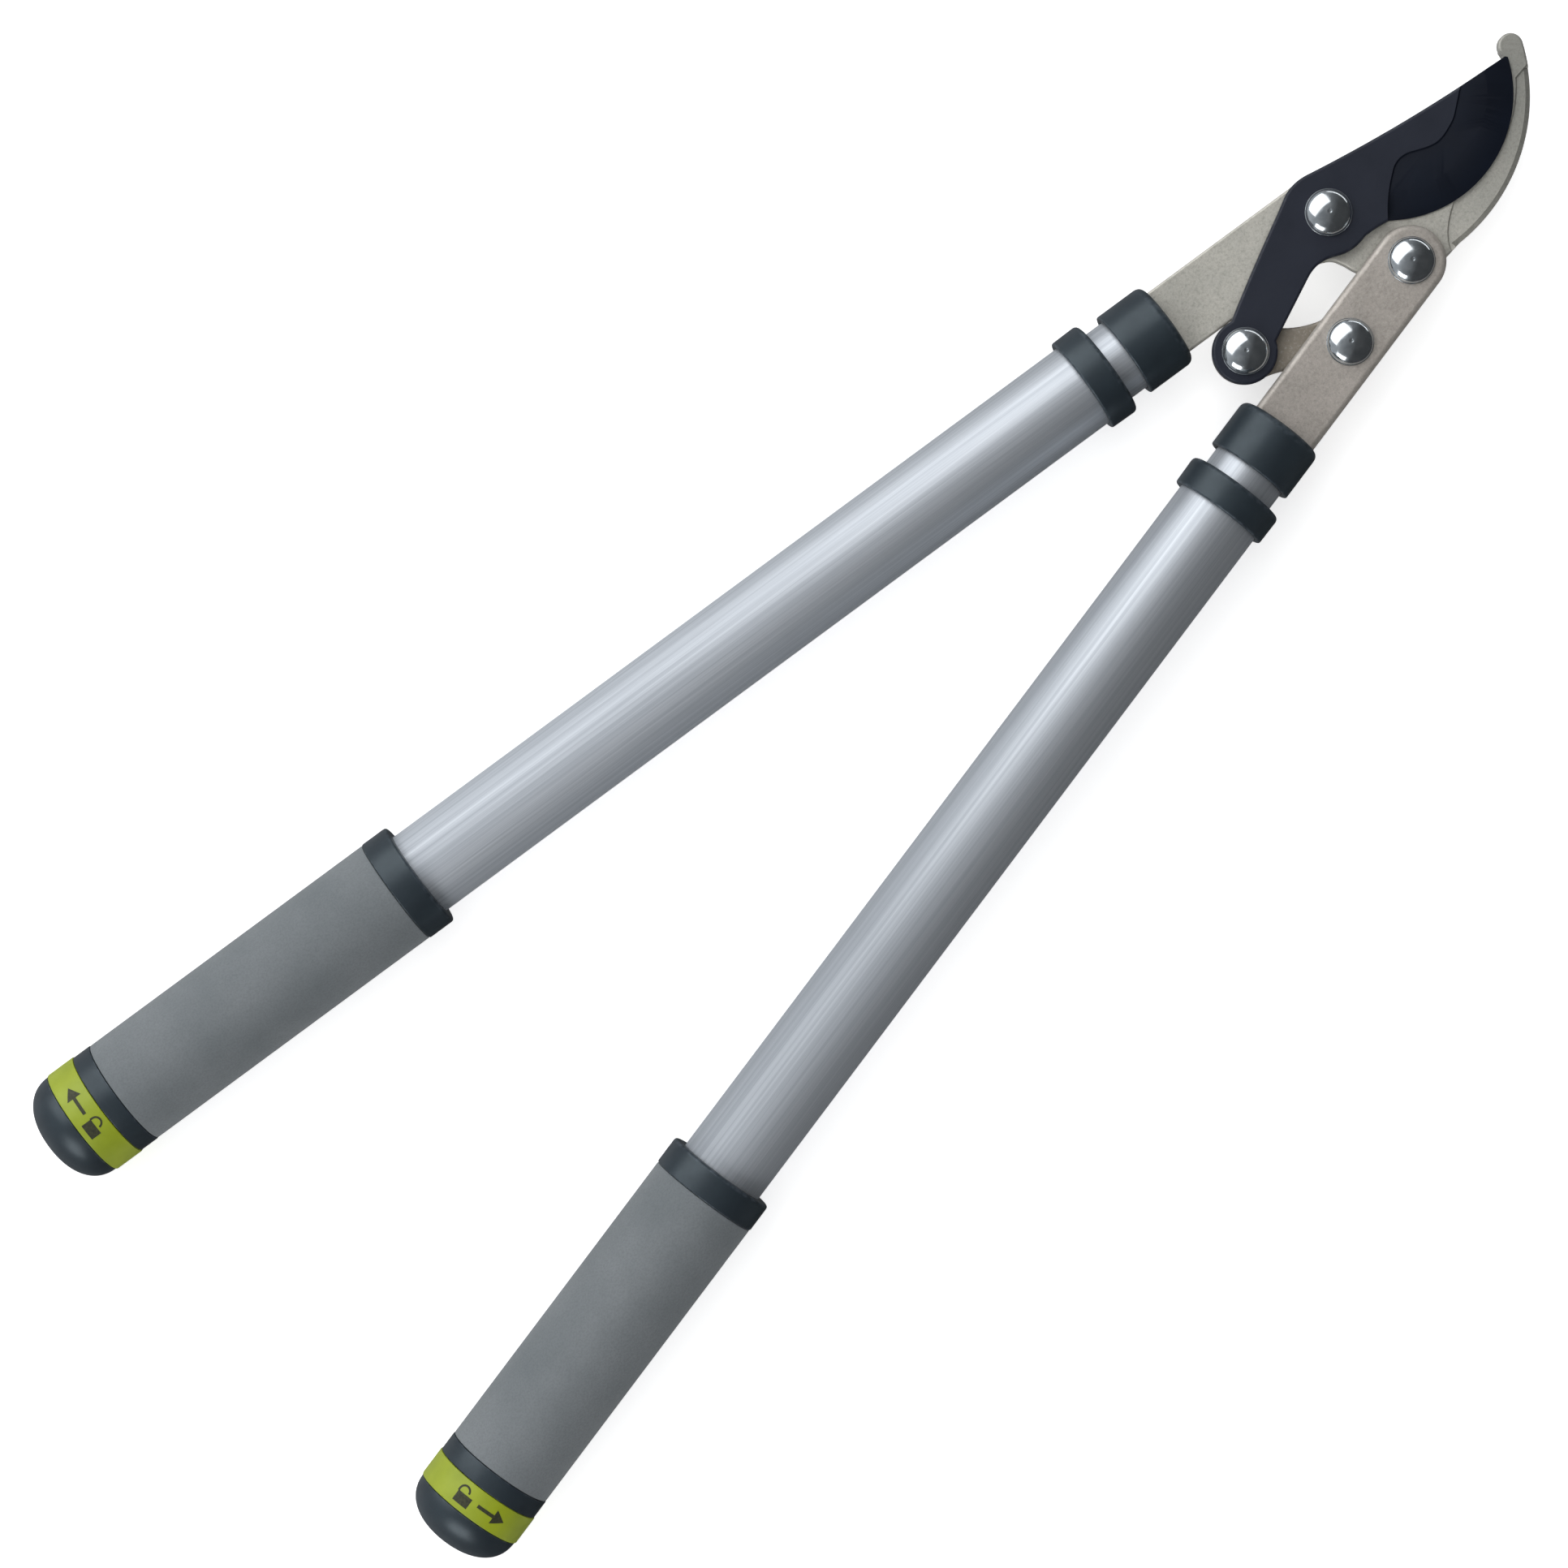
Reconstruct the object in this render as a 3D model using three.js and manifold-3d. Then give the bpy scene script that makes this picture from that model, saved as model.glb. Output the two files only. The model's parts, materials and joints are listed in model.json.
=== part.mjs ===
// Telescopic bypass loppers with a compound (four-bar) cutting head, closed and pushed together.
//
// Millimetres. The origin is the main pivot's axis at the free end of its bolt. +X points along
// the line that halves the two handles, towards the jaws. +Y points towards the hook's handle.
// +Z points up, towards the domed bolt heads.
//
// The head is a stack of flat plates. The lower layer holds the hook plate and the link, and the
// upper layer holds the blade and the lever plate. The hook plate runs into the left handle and
// the lever plate into the right one. Opening the handles turns the lever about the lever pivot,
// the link pulls the blade's tail, and the blade turns about the main pivot.

import * as THREE from "three";
import { mergeVertices } from "three/addons/utils/BufferGeometryUtils.js";
import Module from "manifold-3d";

const wasm = await Module();
wasm.setup();

// ---------------------------------------------------------------------------------------------
// Driving dimensions
// ---------------------------------------------------------------------------------------------

const DEG = Math.PI / 180;
const CLEARANCE = 0.3; // between pieces that touch
const RUNNING = 0.15; // radial, between a bolt and a hole that turns on it
const CHAMFER = 0.6; // on turned edges

// Plate layers, from the bolts' free ends upwards
const BOLT_END = 1.5; // thread that stands past the nut
const NUT_HEIGHT = 6.2;
const WASHER_THICK = 1.5;
const LOWER_THICK = 5.5; // hook plate and link
const UPPER_THICK = 5; // blade and lever plate
const STACK_GAP = 0.2;
const WASHER_Z = BOLT_END + NUT_HEIGHT + STACK_GAP;
const LOWER_Z = WASHER_Z + WASHER_THICK + STACK_GAP;
const UPPER_Z = LOWER_Z + LOWER_THICK + STACK_GAP;
const HEAD_Z = UPPER_Z + UPPER_THICK + STACK_GAP;

// Handle axes: each makes this angle with +X and crosses X = 0 at the Y given
const HANDLE_ANGLE = 8.34 * DEG;
const LEFT_CROSSING = 2.55;
const RIGHT_CROSSING = -33.1;

// Plate sizes
const ARM_HALF = 12.9; // half the width of the hook plate's arm
const LEVER_HALF = 12.8; // half the width of the lever plate
const LEVER_OFFSET = -1.1; // the lever plate's middle line, beside its tube's axis
const PLATE_ROUND = 1.2; // rounding of the plates' edges
const TANG_HALF = 11.5;
const TANG_LENGTH = 35;

// Pivots. Both link pivots lie beside the handles, behind the two main ones.
const MAIN_PIVOT = new THREE.Vector2(0, 0);
const LEVER_PIVOT = onRightAxis(8.9, LEVER_OFFSET);
const LINK_FRONT = onRightAxis(-27.4, LEVER_OFFSET);
const LINK_REAR = new THREE.Vector2(-55.8, -14.3);

// Bolts
const BOLT_RADIUS = 4;
const HEAD_RADIUS = 8.5;
const HEAD_RIM = 0.8;
const HEAD_HEIGHT = 4.6;
const DOME_SWEEP = 84; // degrees of the dome's arc, up to the flat round its centre mark
const CENTRE_MARK = 0.8;
const MARK_DEPTH = 0.3;
const NUT_FLATS = 13;
const NUT_COLLAR = 1.6; // height of the round collar at the nut's free end
const WASHER_RADIUS = 8;
const LINK_SLACK = 1.9; // extra room round the rear link bolt, in the link

// Cutting edge, hook and spine. The cutting edge, the hook's outer edge and its inner edge are
// single arcs.
const CUT_CENTRE = new THREE.Vector2(45.3, 15.4);
const CUT_RADIUS = 45.3;
const HOOK_OUTER_CENTRE = new THREE.Vector2(33.9, 25.9);
const HOOK_OUTER_RADIUS = 67.1;
const HOOK_INNER_CENTRE = new THREE.Vector2(47.5, 17.5);
const HOOK_INNER_RADIUS = 43;
const HOOK_TIP_RADIUS = 4.5;
const HOOK_TIP_ANGLE = -27.9; // degrees, of the tip's centre seen from the outer arc's centre
const HOOK_LAND = 3; // full-height land along the hook's inner edge
const HOOK_RELIEF = 0.8; // depth of the relief outside that land
const LOBE_RADIUS = 12.3; // hook plate round the lever pivot
const BODY_RADIUS = 15.4; // hook plate round the main pivot
const TAIL_RADIUS = 11.7; // blade round the rear link pivot
const GRIND_STEP = 0.6; // drop from the blade's flat to its ground face
const GRIND_WIDTH = 10; // width of the bevel that runs out to the cutting edge
const EDGE_THICK = 0.5; // what is left at the cutting edge

// Free stretches of the plates' outlines, as X and Y. A bend is a control point and an end point.
const ARM_FRONT = -19; // where the arm's lower edge begins, along the left axis
const HOOK_CROTCH = [[-7, -22], [-8.7, -16.4], [-11.6, -12.1]]; // lever lobe to arm
const HOOK_RELIEF_ENDS = [[89, -12.1], [22, -41], [24.8, -33], [37.9, -27.5]];
const SPINE_START = [-6.4, 15.1];
const SPINE = [[-1.6, 16.6, 3.5, 15.1], [43.5, 2.2, 84.6, -4.7]];
const HEEL_START = [13.8, -17.4];
const HEEL = [9.5, -16, 4, -15.3];
const TAIL_INSIDE = [-14.5, -9.2, -21.4, -11.5];
const TAIL_OUTSIDE_START = [-51.6, -3.2];
const TAIL_OUTSIDE = [-33, 4.9, -12.7, 12.5];
const GROUND_START = [[12.8, -18.6], [13.2, -16.8]]; // the line where the blade's flat ends
const GROUND_BENDS = [[18.5, -10.5, 26.1, -5.9], [30.6, -2.7, 35.5, -4.9]];
const GROUND_WAVE = [[44.8, -9.2], [53.6, -7.9], [59.2, -4.8], [67, 0.5]];

// Link
const LINK_FRONT_RADIUS = 11.8;
const LINK_REAR_RADIUS = 11.2; // meets the hook plate's arm when the jaws are shut
const LINK_WAIST = 7.4;

// Handle, measured back along its axis from the collar's front face
const LEFT_COLLAR_AT = -68.4; // collar's front face, along the axis from X = 0
const RIGHT_COLLAR_AT = -66.3;
const COLLAR_LENGTH = 19.3;
const COLLAR_WALL = 2.6;
const COLLAR_RADIUS = 16.5;
const COLLAR_ROUND = 3.2;
const INNER_RADIUS = 14;
const TUBE_WALL = 1.2;
const INNER_LENGTH = 385;
const GUIDE_AT = 26.7;
const GUIDE_LENGTH = 11.2;
const GUIDE_RADIUS = 18.7;
const GUIDE_LIP = 3.3;
const GUIDE_ROUND = 1.8;
const OUTER_RADIUS = 16.2;
const GRIP_AT = 331.9;
const FRONT_RING = 10.6;
const SLEEVE_LENGTH = 121;
const REAR_RING = 7.1;
const BAND_LENGTH = 11.2;
const DOME_LENGTH = 14.4;
const CORE_RADIUS = 18;
const SPIGOT_RADIUS = 18.5;
const FRONT_RING_RADIUS = 20.6;
const SLEEVE_RADIUS = 20.35;
const REAR_RING_RADIUS = 20.5;
const BAND_RADIUS = 20.9;
const DOME_RADIUS = 20.4;
const DOME_POWER = 2.3; // exponent of the end cap's profile: 2 would be an ellipse
const CAP_SOLID = 4; // how deep the end cap is solid behind its seat, before its plug's bore
const CAP_PLUG_WALL = 2.2;

// Tang insert and its pins
const INSERT_LENGTH = 45;
const INSERT_SLOT = 38;
const PIN_RADIUS = 2;
const PIN_HALF = 13.5;
const PINS_AT = [8, 14.6];

// Twist lock at the inner tube's rear end
const PLUG_LENGTH = 18;
const PLUG_FLANGE = 3;
const STUD_RADIUS = 4;
const STUD_LENGTH = 36;
const COLLET_GAP = 2; // from the plug's flange to the collet
const COLLET_LENGTH = 18;
const COLLET_SLIT = 2;
const CONE_LENGTH = 16;
const CONE_SMALL = 7.5;
const CONE_LARGE = 12.5;
const CONE_OUT = 4; // how far the cone stands out of the collet
const STOP_NUT_LENGTH = 5;
const STUD_PAST_NUT = 1;
const STOP_NUT_RADIUS = 7.5;

// How finely round things are cut
const TUBE_SIDES = 28;
const BOLT_SIDES = 20;
const ARC_POINTS = 6; // an arc gets twice as many
const SAME_POINT = 0.02; // points of an outline nearer than this are one

// ---------------------------------------------------------------------------------------------
// Materials
// ---------------------------------------------------------------------------------------------

const material = (color, roughness, metalness) =>
  new THREE.MeshStandardMaterial({ color, roughness, metalness });

const blastedSteel = material(0x969488, 0.55, 0.9);
const coatedSteel = material(0x2c303a, 0.45, 0.4);
const polishedSteel = material(0xd8dadb, 0.08, 1);
const zincSteel = material(0xa9acad, 0.35, 1);
const tubeAluminium = material(0xc4c6ca, 0.22, 1);
const blackPlastic = material(0x394045, 0.5, 0);
const innerPlastic = material(0x55585a, 0.6, 0);
const greyRubber = material(0x70767a, 0.85, 0);
const limePlastic = material(0x9bab33, 0.5, 0);

// ---------------------------------------------------------------------------------------------
// Geometry helpers
// ---------------------------------------------------------------------------------------------

// A point on the left or right handle's axis line: `along` towards the jaws from X = 0, and
// `beside` the axis towards +Y.
function onLeftAxis(along, beside) {
  return onAxis(along, beside, LEFT_CROSSING, -HANDLE_ANGLE);
}

function onRightAxis(along, beside) {
  return onAxis(along, beside, RIGHT_CROSSING, HANDLE_ANGLE);
}

function onAxis(along, beside, crossing, angle) {
  return new THREE.Vector2(along, beside)
    .rotateAround(new THREE.Vector2(), angle)
    .add(new THREE.Vector2(0, crossing));
}

function onCircle(centre, radius, angle) {
  return new THREE.Vector2(
    centre.x + radius * Math.cos(angle),
    centre.y + radius * Math.sin(angle),
  );
}

function solidOf(geometry) {
  const bare = geometry.clone();
  bare.deleteAttribute("normal");
  bare.deleteAttribute("uv");
  const merged = mergeVertices(bare, 1e-4);
  return new wasm.Manifold(
    new wasm.Mesh({
      numProp: 3,
      vertProperties: merged.attributes.position.array,
      triVerts: new Uint32Array(merged.index.array),
    }),
  );
}

function geometryOf(solid) {
  const mesh = solid.getMesh();
  const geometry = new THREE.BufferGeometry();
  geometry.setAttribute("position", new THREE.BufferAttribute(mesh.vertProperties, 3));
  geometry.setIndex(new THREE.BufferAttribute(mesh.triVerts, 1));
  geometry.computeVertexNormals();
  return geometry;
}

// The first geometry with `added` joined on and `cut` taken away.
function combine(base, { added = [], cut = [] }) {
  let solid = solidOf(base);
  for (const extra of added) solid = solid.add(solidOf(extra));
  for (const tool of cut) solid = solid.subtract(solidOf(tool));
  return geometryOf(solid);
}

// A body turned about X, from [distance along X, radius] pairs. A profile that touches the axis
// starts and ends on it, and any other profile closes on itself.
function turned(profile, sides = TUBE_SIDES) {
  const section = profile.map(([along, radius]) => new THREE.Vector2(radius, along));
  const closesItself = section[0].x > 0;
  if (THREE.ShapeUtils.area(section) < 0) section.reverse();
  if (closesItself) section.push(section[0].clone());
  return new THREE.LatheGeometry(section, sides).rotateZ(-Math.PI / 2);
}

// The same body standing along Z.
function turnedUpright(profile, sides = BOLT_SIDES) {
  return turned(profile, sides).rotateY(-Math.PI / 2);
}

function ring(from, to, inner, outer, sides = TUBE_SIDES) {
  return turned([[from, inner], [from, outer], [to, outer], [to, inner]], sides);
}

function block(from, to, halfWidth, halfHeight, beside = 0) {
  return new THREE.BoxGeometry(to - from, 2 * halfWidth, 2 * halfHeight)
    .translate((from + to) / 2, beside, 0);
}

// An arc, joined by a straight run to what the outline already holds. Angles are in degrees.
function arc(outline, centre, radius, from, to, clockwise = true) {
  outline.absarc(centre.x, centre.y, radius, from * DEG, to * DEG, clockwise);
}

function shapeFrom(start) {
  const outline = new THREE.Shape();
  return outline.moveTo(start.x, start.y);
}

function lineThrough(outline, ...points) {
  for (const point of points) outline.lineTo(point.x, point.y);
}

function points(pairs) {
  return pairs.map(([x, y]) => new THREE.Vector2(x, y));
}

// The outline as straight steps, without the points where two of its curves meet twice.
function stepped(outline) {
  const steps = outline.getPoints(ARC_POINTS);
  const apart = (step, i) => step.distanceTo(steps[(i + 1) % steps.length]) > SAME_POINT;
  return new THREE.Shape(steps.filter(apart));
}

// A plate of even thickness with rounded edges, from its outline.
function plate(outline, thickness, round) {
  return new THREE.ExtrudeGeometry(stepped(outline), {
    depth: thickness - 2 * round,
    bevelThickness: round,
    bevelSize: round,
    bevelOffset: -round,
    bevelSegments: 1,
  }).translate(0, 0, round);
}

function prism(outline, from, to) {
  return new THREE.ExtrudeGeometry(stepped(outline), {
    depth: to - from,
    bevelEnabled: false,
  }).translate(0, 0, from);
}

function boltHole(centre, radius = BOLT_RADIUS + RUNNING) {
  return new THREE.CylinderGeometry(radius, radius, LOWER_THICK + 4, BOLT_SIDES)
    .rotateX(Math.PI / 2)
    .translate(centre.x, centre.y, LOWER_THICK / 2);
}

// ---------------------------------------------------------------------------------------------
// Cutting head
// ---------------------------------------------------------------------------------------------

// The flat tongue behind a plate's shoulder that goes into its tube. `place` maps a point beside
// the handle's axis to X and Y.
function tang(place, collarAt, thickness) {
  const shoulder = collarAt - COLLAR_WALL;
  const back = shoulder - TANG_LENGTH;
  const joined = shoulder + 2 * PLATE_ROUND; // runs past the plate's rounded edge
  const outline = new THREE.Shape([
    place(back, -TANG_HALF),
    place(joined, -TANG_HALF),
    place(joined, TANG_HALF),
    place(back, TANG_HALF),
  ]);
  return prism(outline, PLATE_ROUND / 4, thickness - PLATE_ROUND / 4);
}

function pinHoles(place, collarAt) {
  return PINS_AT.map((at) => boltHole(place(collarAt - at, 0), PIN_RADIUS + CLEARANCE));
}

function hookOutline() {
  const shoulder = LEFT_COLLAR_AT - COLLAR_WALL;
  const tip = onCircle(
    HOOK_OUTER_CENTRE, HOOK_OUTER_RADIUS - HOOK_TIP_RADIUS, HOOK_TIP_ANGLE * DEG,
  );
  const outline = shapeFrom(onLeftAxis(shoulder, -ARM_HALF));
  lineThrough(outline, onLeftAxis(shoulder, ARM_HALF));
  arc(outline, MAIN_PIVOT, BODY_RADIUS, 90 - HANDLE_ANGLE / DEG, -20);
  arc(outline, HOOK_INNER_CENTRE, HOOK_INNER_RADIUS, -136, -30, false);
  arc(outline, tip, HOOK_TIP_RADIUS, 189, HOOK_TIP_ANGLE);
  arc(outline, HOOK_OUTER_CENTRE, HOOK_OUTER_RADIUS, HOOK_TIP_ANGLE, -96);
  arc(outline, LEVER_PIVOT, LOBE_RADIUS, -42, -190);
  outline.splineThru([...points(HOOK_CROTCH), onLeftAxis(ARM_FRONT, -ARM_HALF)]);
  return outline;
}

// The relief in the hook's upper face, from the shoulder beside the lever pivot to the full-height
// pad at the tip. It leaves the land along the inner edge.
function hookRelief() {
  const outside = HOOK_OUTER_RADIUS + 8;
  const [padEdge, shoulderFoot, shoulderBend, shoulderHead] = points(HOOK_RELIEF_ENDS);
  const outline = new THREE.Shape();
  arc(outline, HOOK_INNER_CENTRE, HOOK_INNER_RADIUS + HOOK_LAND, -102, -41, false);
  lineThrough(outline, padEdge);
  arc(outline, HOOK_OUTER_CENTRE, outside, -32, -99);
  lineThrough(outline, shoulderFoot);
  outline.quadraticCurveTo(shoulderBend.x, shoulderBend.y, shoulderHead.x, shoulderHead.y);
  return prism(outline, LOWER_THICK - HOOK_RELIEF, LOWER_THICK + 1);
}

function hookPlate() {
  return combine(plate(hookOutline(), LOWER_THICK, PLATE_ROUND), {
    added: [tang(onLeftAxis, LEFT_COLLAR_AT, LOWER_THICK)],
    cut: [
      hookRelief(),
      boltHole(MAIN_PIVOT),
      boltHole(LEVER_PIVOT),
      ...pinHoles(onLeftAxis, LEFT_COLLAR_AT),
    ],
  });
}

function leverPlate() {
  const shoulder = RIGHT_COLLAR_AT - COLLAR_WALL;
  const outline = shapeFrom(onRightAxis(shoulder, LEVER_OFFSET + LEVER_HALF));
  lineThrough(outline, onRightAxis(shoulder, LEVER_OFFSET - LEVER_HALF));
  const square = HANDLE_ANGLE / DEG;
  arc(outline, LEVER_PIVOT, LEVER_HALF, square - 90, square + 90, false);
  return combine(plate(outline, UPPER_THICK, PLATE_ROUND), {
    added: [tang(onRightAxis, RIGHT_COLLAR_AT, UPPER_THICK)],
    cut: [
      boltHole(LEVER_PIVOT),
      boltHole(LINK_FRONT),
      ...pinHoles(onRightAxis, RIGHT_COLLAR_AT),
    ],
  });
}

function linkPlate() {
  const length = LINK_FRONT.distanceTo(LINK_REAR);
  const flank = 60; // where each round end runs over into a flank, in degrees
  const front = new THREE.Vector2(0, 0);
  const rear = new THREE.Vector2(length, 0);
  const ends = (LINK_FRONT_RADIUS + LINK_REAR_RADIUS) / 2;
  const waistPull = 2 * LINK_WAIST - ends * Math.sin(flank * DEG);
  const rearFlank = onCircle(rear, LINK_REAR_RADIUS, (180 + flank) * DEG);
  const frontFlank = onCircle(front, LINK_FRONT_RADIUS, flank * DEG);
  const outline = new THREE.Shape();
  arc(outline, front, LINK_FRONT_RADIUS, flank, 360 - flank, false);
  outline.quadraticCurveTo(length / 2, -waistPull, rearFlank.x, rearFlank.y);
  arc(outline, rear, LINK_REAR_RADIUS, flank - 180, 180 - flank, false);
  outline.quadraticCurveTo(length / 2, waistPull, frontFlank.x, frontFlank.y);
  return combine(plate(outline, LOWER_THICK, PLATE_ROUND), {
    cut: [boltHole(front), boltHole(rear, BOLT_RADIUS + LINK_SLACK)],
  });
}

function bladeOutline() {
  const outline = shapeFrom(new THREE.Vector2(...SPINE_START));
  for (const bend of SPINE) outline.quadraticCurveTo(...bend);
  arc(outline, CUT_CENTRE, CUT_RADIUS, -27.6, -129.5);
  lineThrough(outline, new THREE.Vector2(...HEEL_START));
  outline.quadraticCurveTo(...HEEL);
  arc(outline, MAIN_PIVOT, BODY_RADIUS + 0.2, -80, -122);
  outline.quadraticCurveTo(...TAIL_INSIDE);
  arc(outline, LINK_REAR, TAIL_RADIUS, -26, -276);
  lineThrough(outline, new THREE.Vector2(...TAIL_OUTSIDE_START));
  outline.quadraticCurveTo(...TAIL_OUTSIDE);
  return outline;
}

// What lies past the line where the blade's flat ends and its ground face begins.
function groundRegion() {
  const [start, first] = points(GROUND_START);
  const outline = shapeFrom(start);
  lineThrough(outline, first);
  for (const bend of GROUND_BENDS) outline.quadraticCurveTo(...bend);
  outline.splineThru(points(GROUND_WAVE));
  const past = 100; // beyond the blade's tip and its cutting edge
  lineThrough(outline, ...points([[past, 0], [past, -past / 2], [start.x, -past / 2]]));
  return outline;
}

function blade() {
  const ground = UPPER_THICK - GRIND_STEP;
  const above = UPPER_THICK + 1;
  const wedge = turnedUpright([
    [ground, CUT_RADIUS - GRIND_WIDTH],
    [EDGE_THICK, CUT_RADIUS],
    [EDGE_THICK, CUT_RADIUS + 3],
    [above, CUT_RADIUS + 3],
    [above, CUT_RADIUS - GRIND_WIDTH],
  ], 2 * TUBE_SIDES).translate(CUT_CENTRE.x, CUT_CENTRE.y, 0);
  const bevel = solidOf(wedge).intersect(solidOf(prism(groundRegion(), 0, above)));
  const round = PLATE_ROUND / 2;
  return combine(plate(bladeOutline(), UPPER_THICK, round), {
    cut: [
      prism(groundRegion(), ground, above),
      geometryOf(bevel),
      boltHole(MAIN_PIVOT),
      boltHole(LINK_REAR),
    ],
  });
}

// A domed bolt with a thin rim and a small centre mark, from its free end at Z = 0 up.
function domedBolt() {
  const domeFoot = HEAD_RADIUS - CHAMFER;
  const top = HEAD_Z + HEAD_HEIGHT;
  const profile = [
    [0, 0], [0, BOLT_RADIUS - CHAMFER], [CHAMFER, BOLT_RADIUS], [HEAD_Z, BOLT_RADIUS],
    [HEAD_Z, HEAD_RADIUS], [HEAD_Z + HEAD_RIM, HEAD_RADIUS],
  ];
  const steps = 6;
  for (let i = 0; i < steps; i++) {
    const angle = (i / steps) * DOME_SWEEP * DEG;
    const rise = (HEAD_HEIGHT - HEAD_RIM) * Math.sin(angle);
    profile.push([HEAD_Z + HEAD_RIM + rise, domeFoot * Math.cos(angle)]);
  }
  profile.push([top, CENTRE_MARK], [top - MARK_DEPTH, 0]);
  return turnedUpright(profile);
}

function washer() {
  const bore = BOLT_RADIUS + CLEARANCE;
  return turnedUpright([
    [0, bore], [0, WASHER_RADIUS], [WASHER_THICK, WASHER_RADIUS], [WASHER_THICK, bore],
  ]);
}

// A lock nut: a hexagon with its corners turned off, and a round collar at the free end.
function lockNut() {
  const corner = NUT_FLATS / Math.sqrt(3);
  const collar = NUT_COLLAR;
  const flat = NUT_FLATS / 2;
  const hexagon = new THREE.CylinderGeometry(corner, corner, NUT_HEIGHT, 6)
    .rotateX(Math.PI / 2)
    .translate(0, 0, NUT_HEIGHT / 2);
  const turnedOff = turnedUpright([
    [0, 0],
    [0, flat - 1],
    [collar, flat - 0.4],
    [collar, flat],
    [collar + 0.5, corner],
    [NUT_HEIGHT - 0.5, corner],
    [NUT_HEIGHT, flat],
    [NUT_HEIGHT, 0],
  ]);
  const bored = solidOf(hexagon)
    .intersect(solidOf(turnedOff))
    .subtract(solidOf(boltHole(MAIN_PIVOT)).translate([0, 0, 0.5]));
  return geometryOf(bored);
}

// ---------------------------------------------------------------------------------------------
// Handle, along +X from the collar's front face to the end cap
// ---------------------------------------------------------------------------------------------

// The collar closes the tube's front end round the plate, which passes through its slot.
function collar(halfWidth, thickness, beside) {
  const bore = INNER_RADIUS + CLEARANCE;
  const front = COLLAR_RADIUS - COLLAR_ROUND;
  const profile = [[0, 0]];
  const steps = 4;
  for (let i = 0; i <= steps; i++) {
    const angle = (i / steps) * 90 * DEG;
    profile.push([
      COLLAR_ROUND * (1 - Math.cos(angle)),
      front + COLLAR_ROUND * Math.sin(angle),
    ]);
  }
  profile.push(
    [COLLAR_LENGTH - CHAMFER, COLLAR_RADIUS],
    [COLLAR_LENGTH, COLLAR_RADIUS - CHAMFER],
    [COLLAR_LENGTH, bore],
    [COLLAR_WALL, bore],
    [COLLAR_WALL, 0],
  );
  const slot = block(
    -1, COLLAR_WALL + 1, halfWidth + CLEARANCE, thickness / 2 + CLEARANCE, beside,
  );
  return combine(turned(profile), { cut: [slot] });
}

function pinBore(at, radius = PIN_RADIUS + CLEARANCE) {
  return new THREE.CylinderGeometry(radius, radius, 4 * PIN_HALF, BOLT_SIDES / 2)
    .rotateX(Math.PI / 2)
    .translate(at, 0, 0);
}

// Two cheeks that grip the tang inside the tube, joined behind it.
function tangInsert(thickness) {
  const from = COLLAR_WALL + 2 * CLEARANCE;
  const radius = INNER_RADIUS - TUBE_WALL - CLEARANCE;
  const body = turned([
    [from, 0], [from, radius], [from + INSERT_LENGTH, radius], [from + INSERT_LENGTH, 0],
  ]);
  const slot = block(0, INSERT_SLOT, radius + 1, thickness / 2 + CLEARANCE);
  return combine(body, { cut: [slot, ...PINS_AT.map((at) => pinBore(at))] });
}

function tangPin() {
  return new THREE.CylinderGeometry(PIN_RADIUS, PIN_RADIUS, 2 * PIN_HALF, BOLT_SIDES / 2)
    .rotateX(Math.PI / 2);
}

function innerTube() {
  const from = COLLAR_WALL + CLEARANCE;
  const tube = ring(from, from + INNER_LENGTH, INNER_RADIUS - TUBE_WALL, INNER_RADIUS);
  return combine(tube, { cut: PINS_AT.map((at) => pinBore(at)) });
}

// Guides the outer tube's front end on the inner tube.
function guideRing() {
  const end = GUIDE_AT + GUIDE_LENGTH;
  const lip = GUIDE_AT + GUIDE_LIP;
  return turned([
    [GUIDE_AT, INNER_RADIUS + CLEARANCE],
    [GUIDE_AT, GUIDE_RADIUS - GUIDE_ROUND],
    [GUIDE_AT + 0.3 * GUIDE_ROUND, GUIDE_RADIUS - 0.4 * GUIDE_ROUND],
    [GUIDE_AT + GUIDE_ROUND, GUIDE_RADIUS],
    [end - CHAMFER, GUIDE_RADIUS],
    [end, GUIDE_RADIUS - CHAMFER],
    [end, OUTER_RADIUS + CLEARANCE],
    [lip, OUTER_RADIUS + CLEARANCE],
    [lip, INNER_RADIUS + CLEARANCE],
  ]);
}

const SLEEVE_AT = GRIP_AT + FRONT_RING;
const REAR_RING_AT = SLEEVE_AT + SLEEVE_LENGTH;
const BAND_AT = REAR_RING_AT + REAR_RING;
const DOME_AT = BAND_AT + BAND_LENGTH;

function outerTube() {
  const from = GUIDE_AT + GUIDE_LIP + CLEARANCE;
  return ring(from, DOME_AT - CLEARANCE, OUTER_RADIUS - TUBE_WALL, OUTER_RADIUS);
}

// The hard core of the grip, with a raised ring at each end of the soft sleeve.
function gripCore() {
  const bore = OUTER_RADIUS + CLEARANCE;
  return turned([
    [GRIP_AT, bore],
    [GRIP_AT, FRONT_RING_RADIUS - CHAMFER],
    [GRIP_AT + CHAMFER, FRONT_RING_RADIUS],
    [SLEEVE_AT, FRONT_RING_RADIUS],
    [SLEEVE_AT, CORE_RADIUS],
    [REAR_RING_AT, CORE_RADIUS],
    [REAR_RING_AT, REAR_RING_RADIUS],
    [BAND_AT, REAR_RING_RADIUS],
    [BAND_AT, SPIGOT_RADIUS],
    [DOME_AT - CLEARANCE, SPIGOT_RADIUS],
    [DOME_AT - CLEARANCE, bore],
  ]);
}

function gripSleeve() {
  return ring(
    SLEEVE_AT + CLEARANCE, REAR_RING_AT - CLEARANCE, CORE_RADIUS + CLEARANCE, SLEEVE_RADIUS,
  );
}

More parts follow.
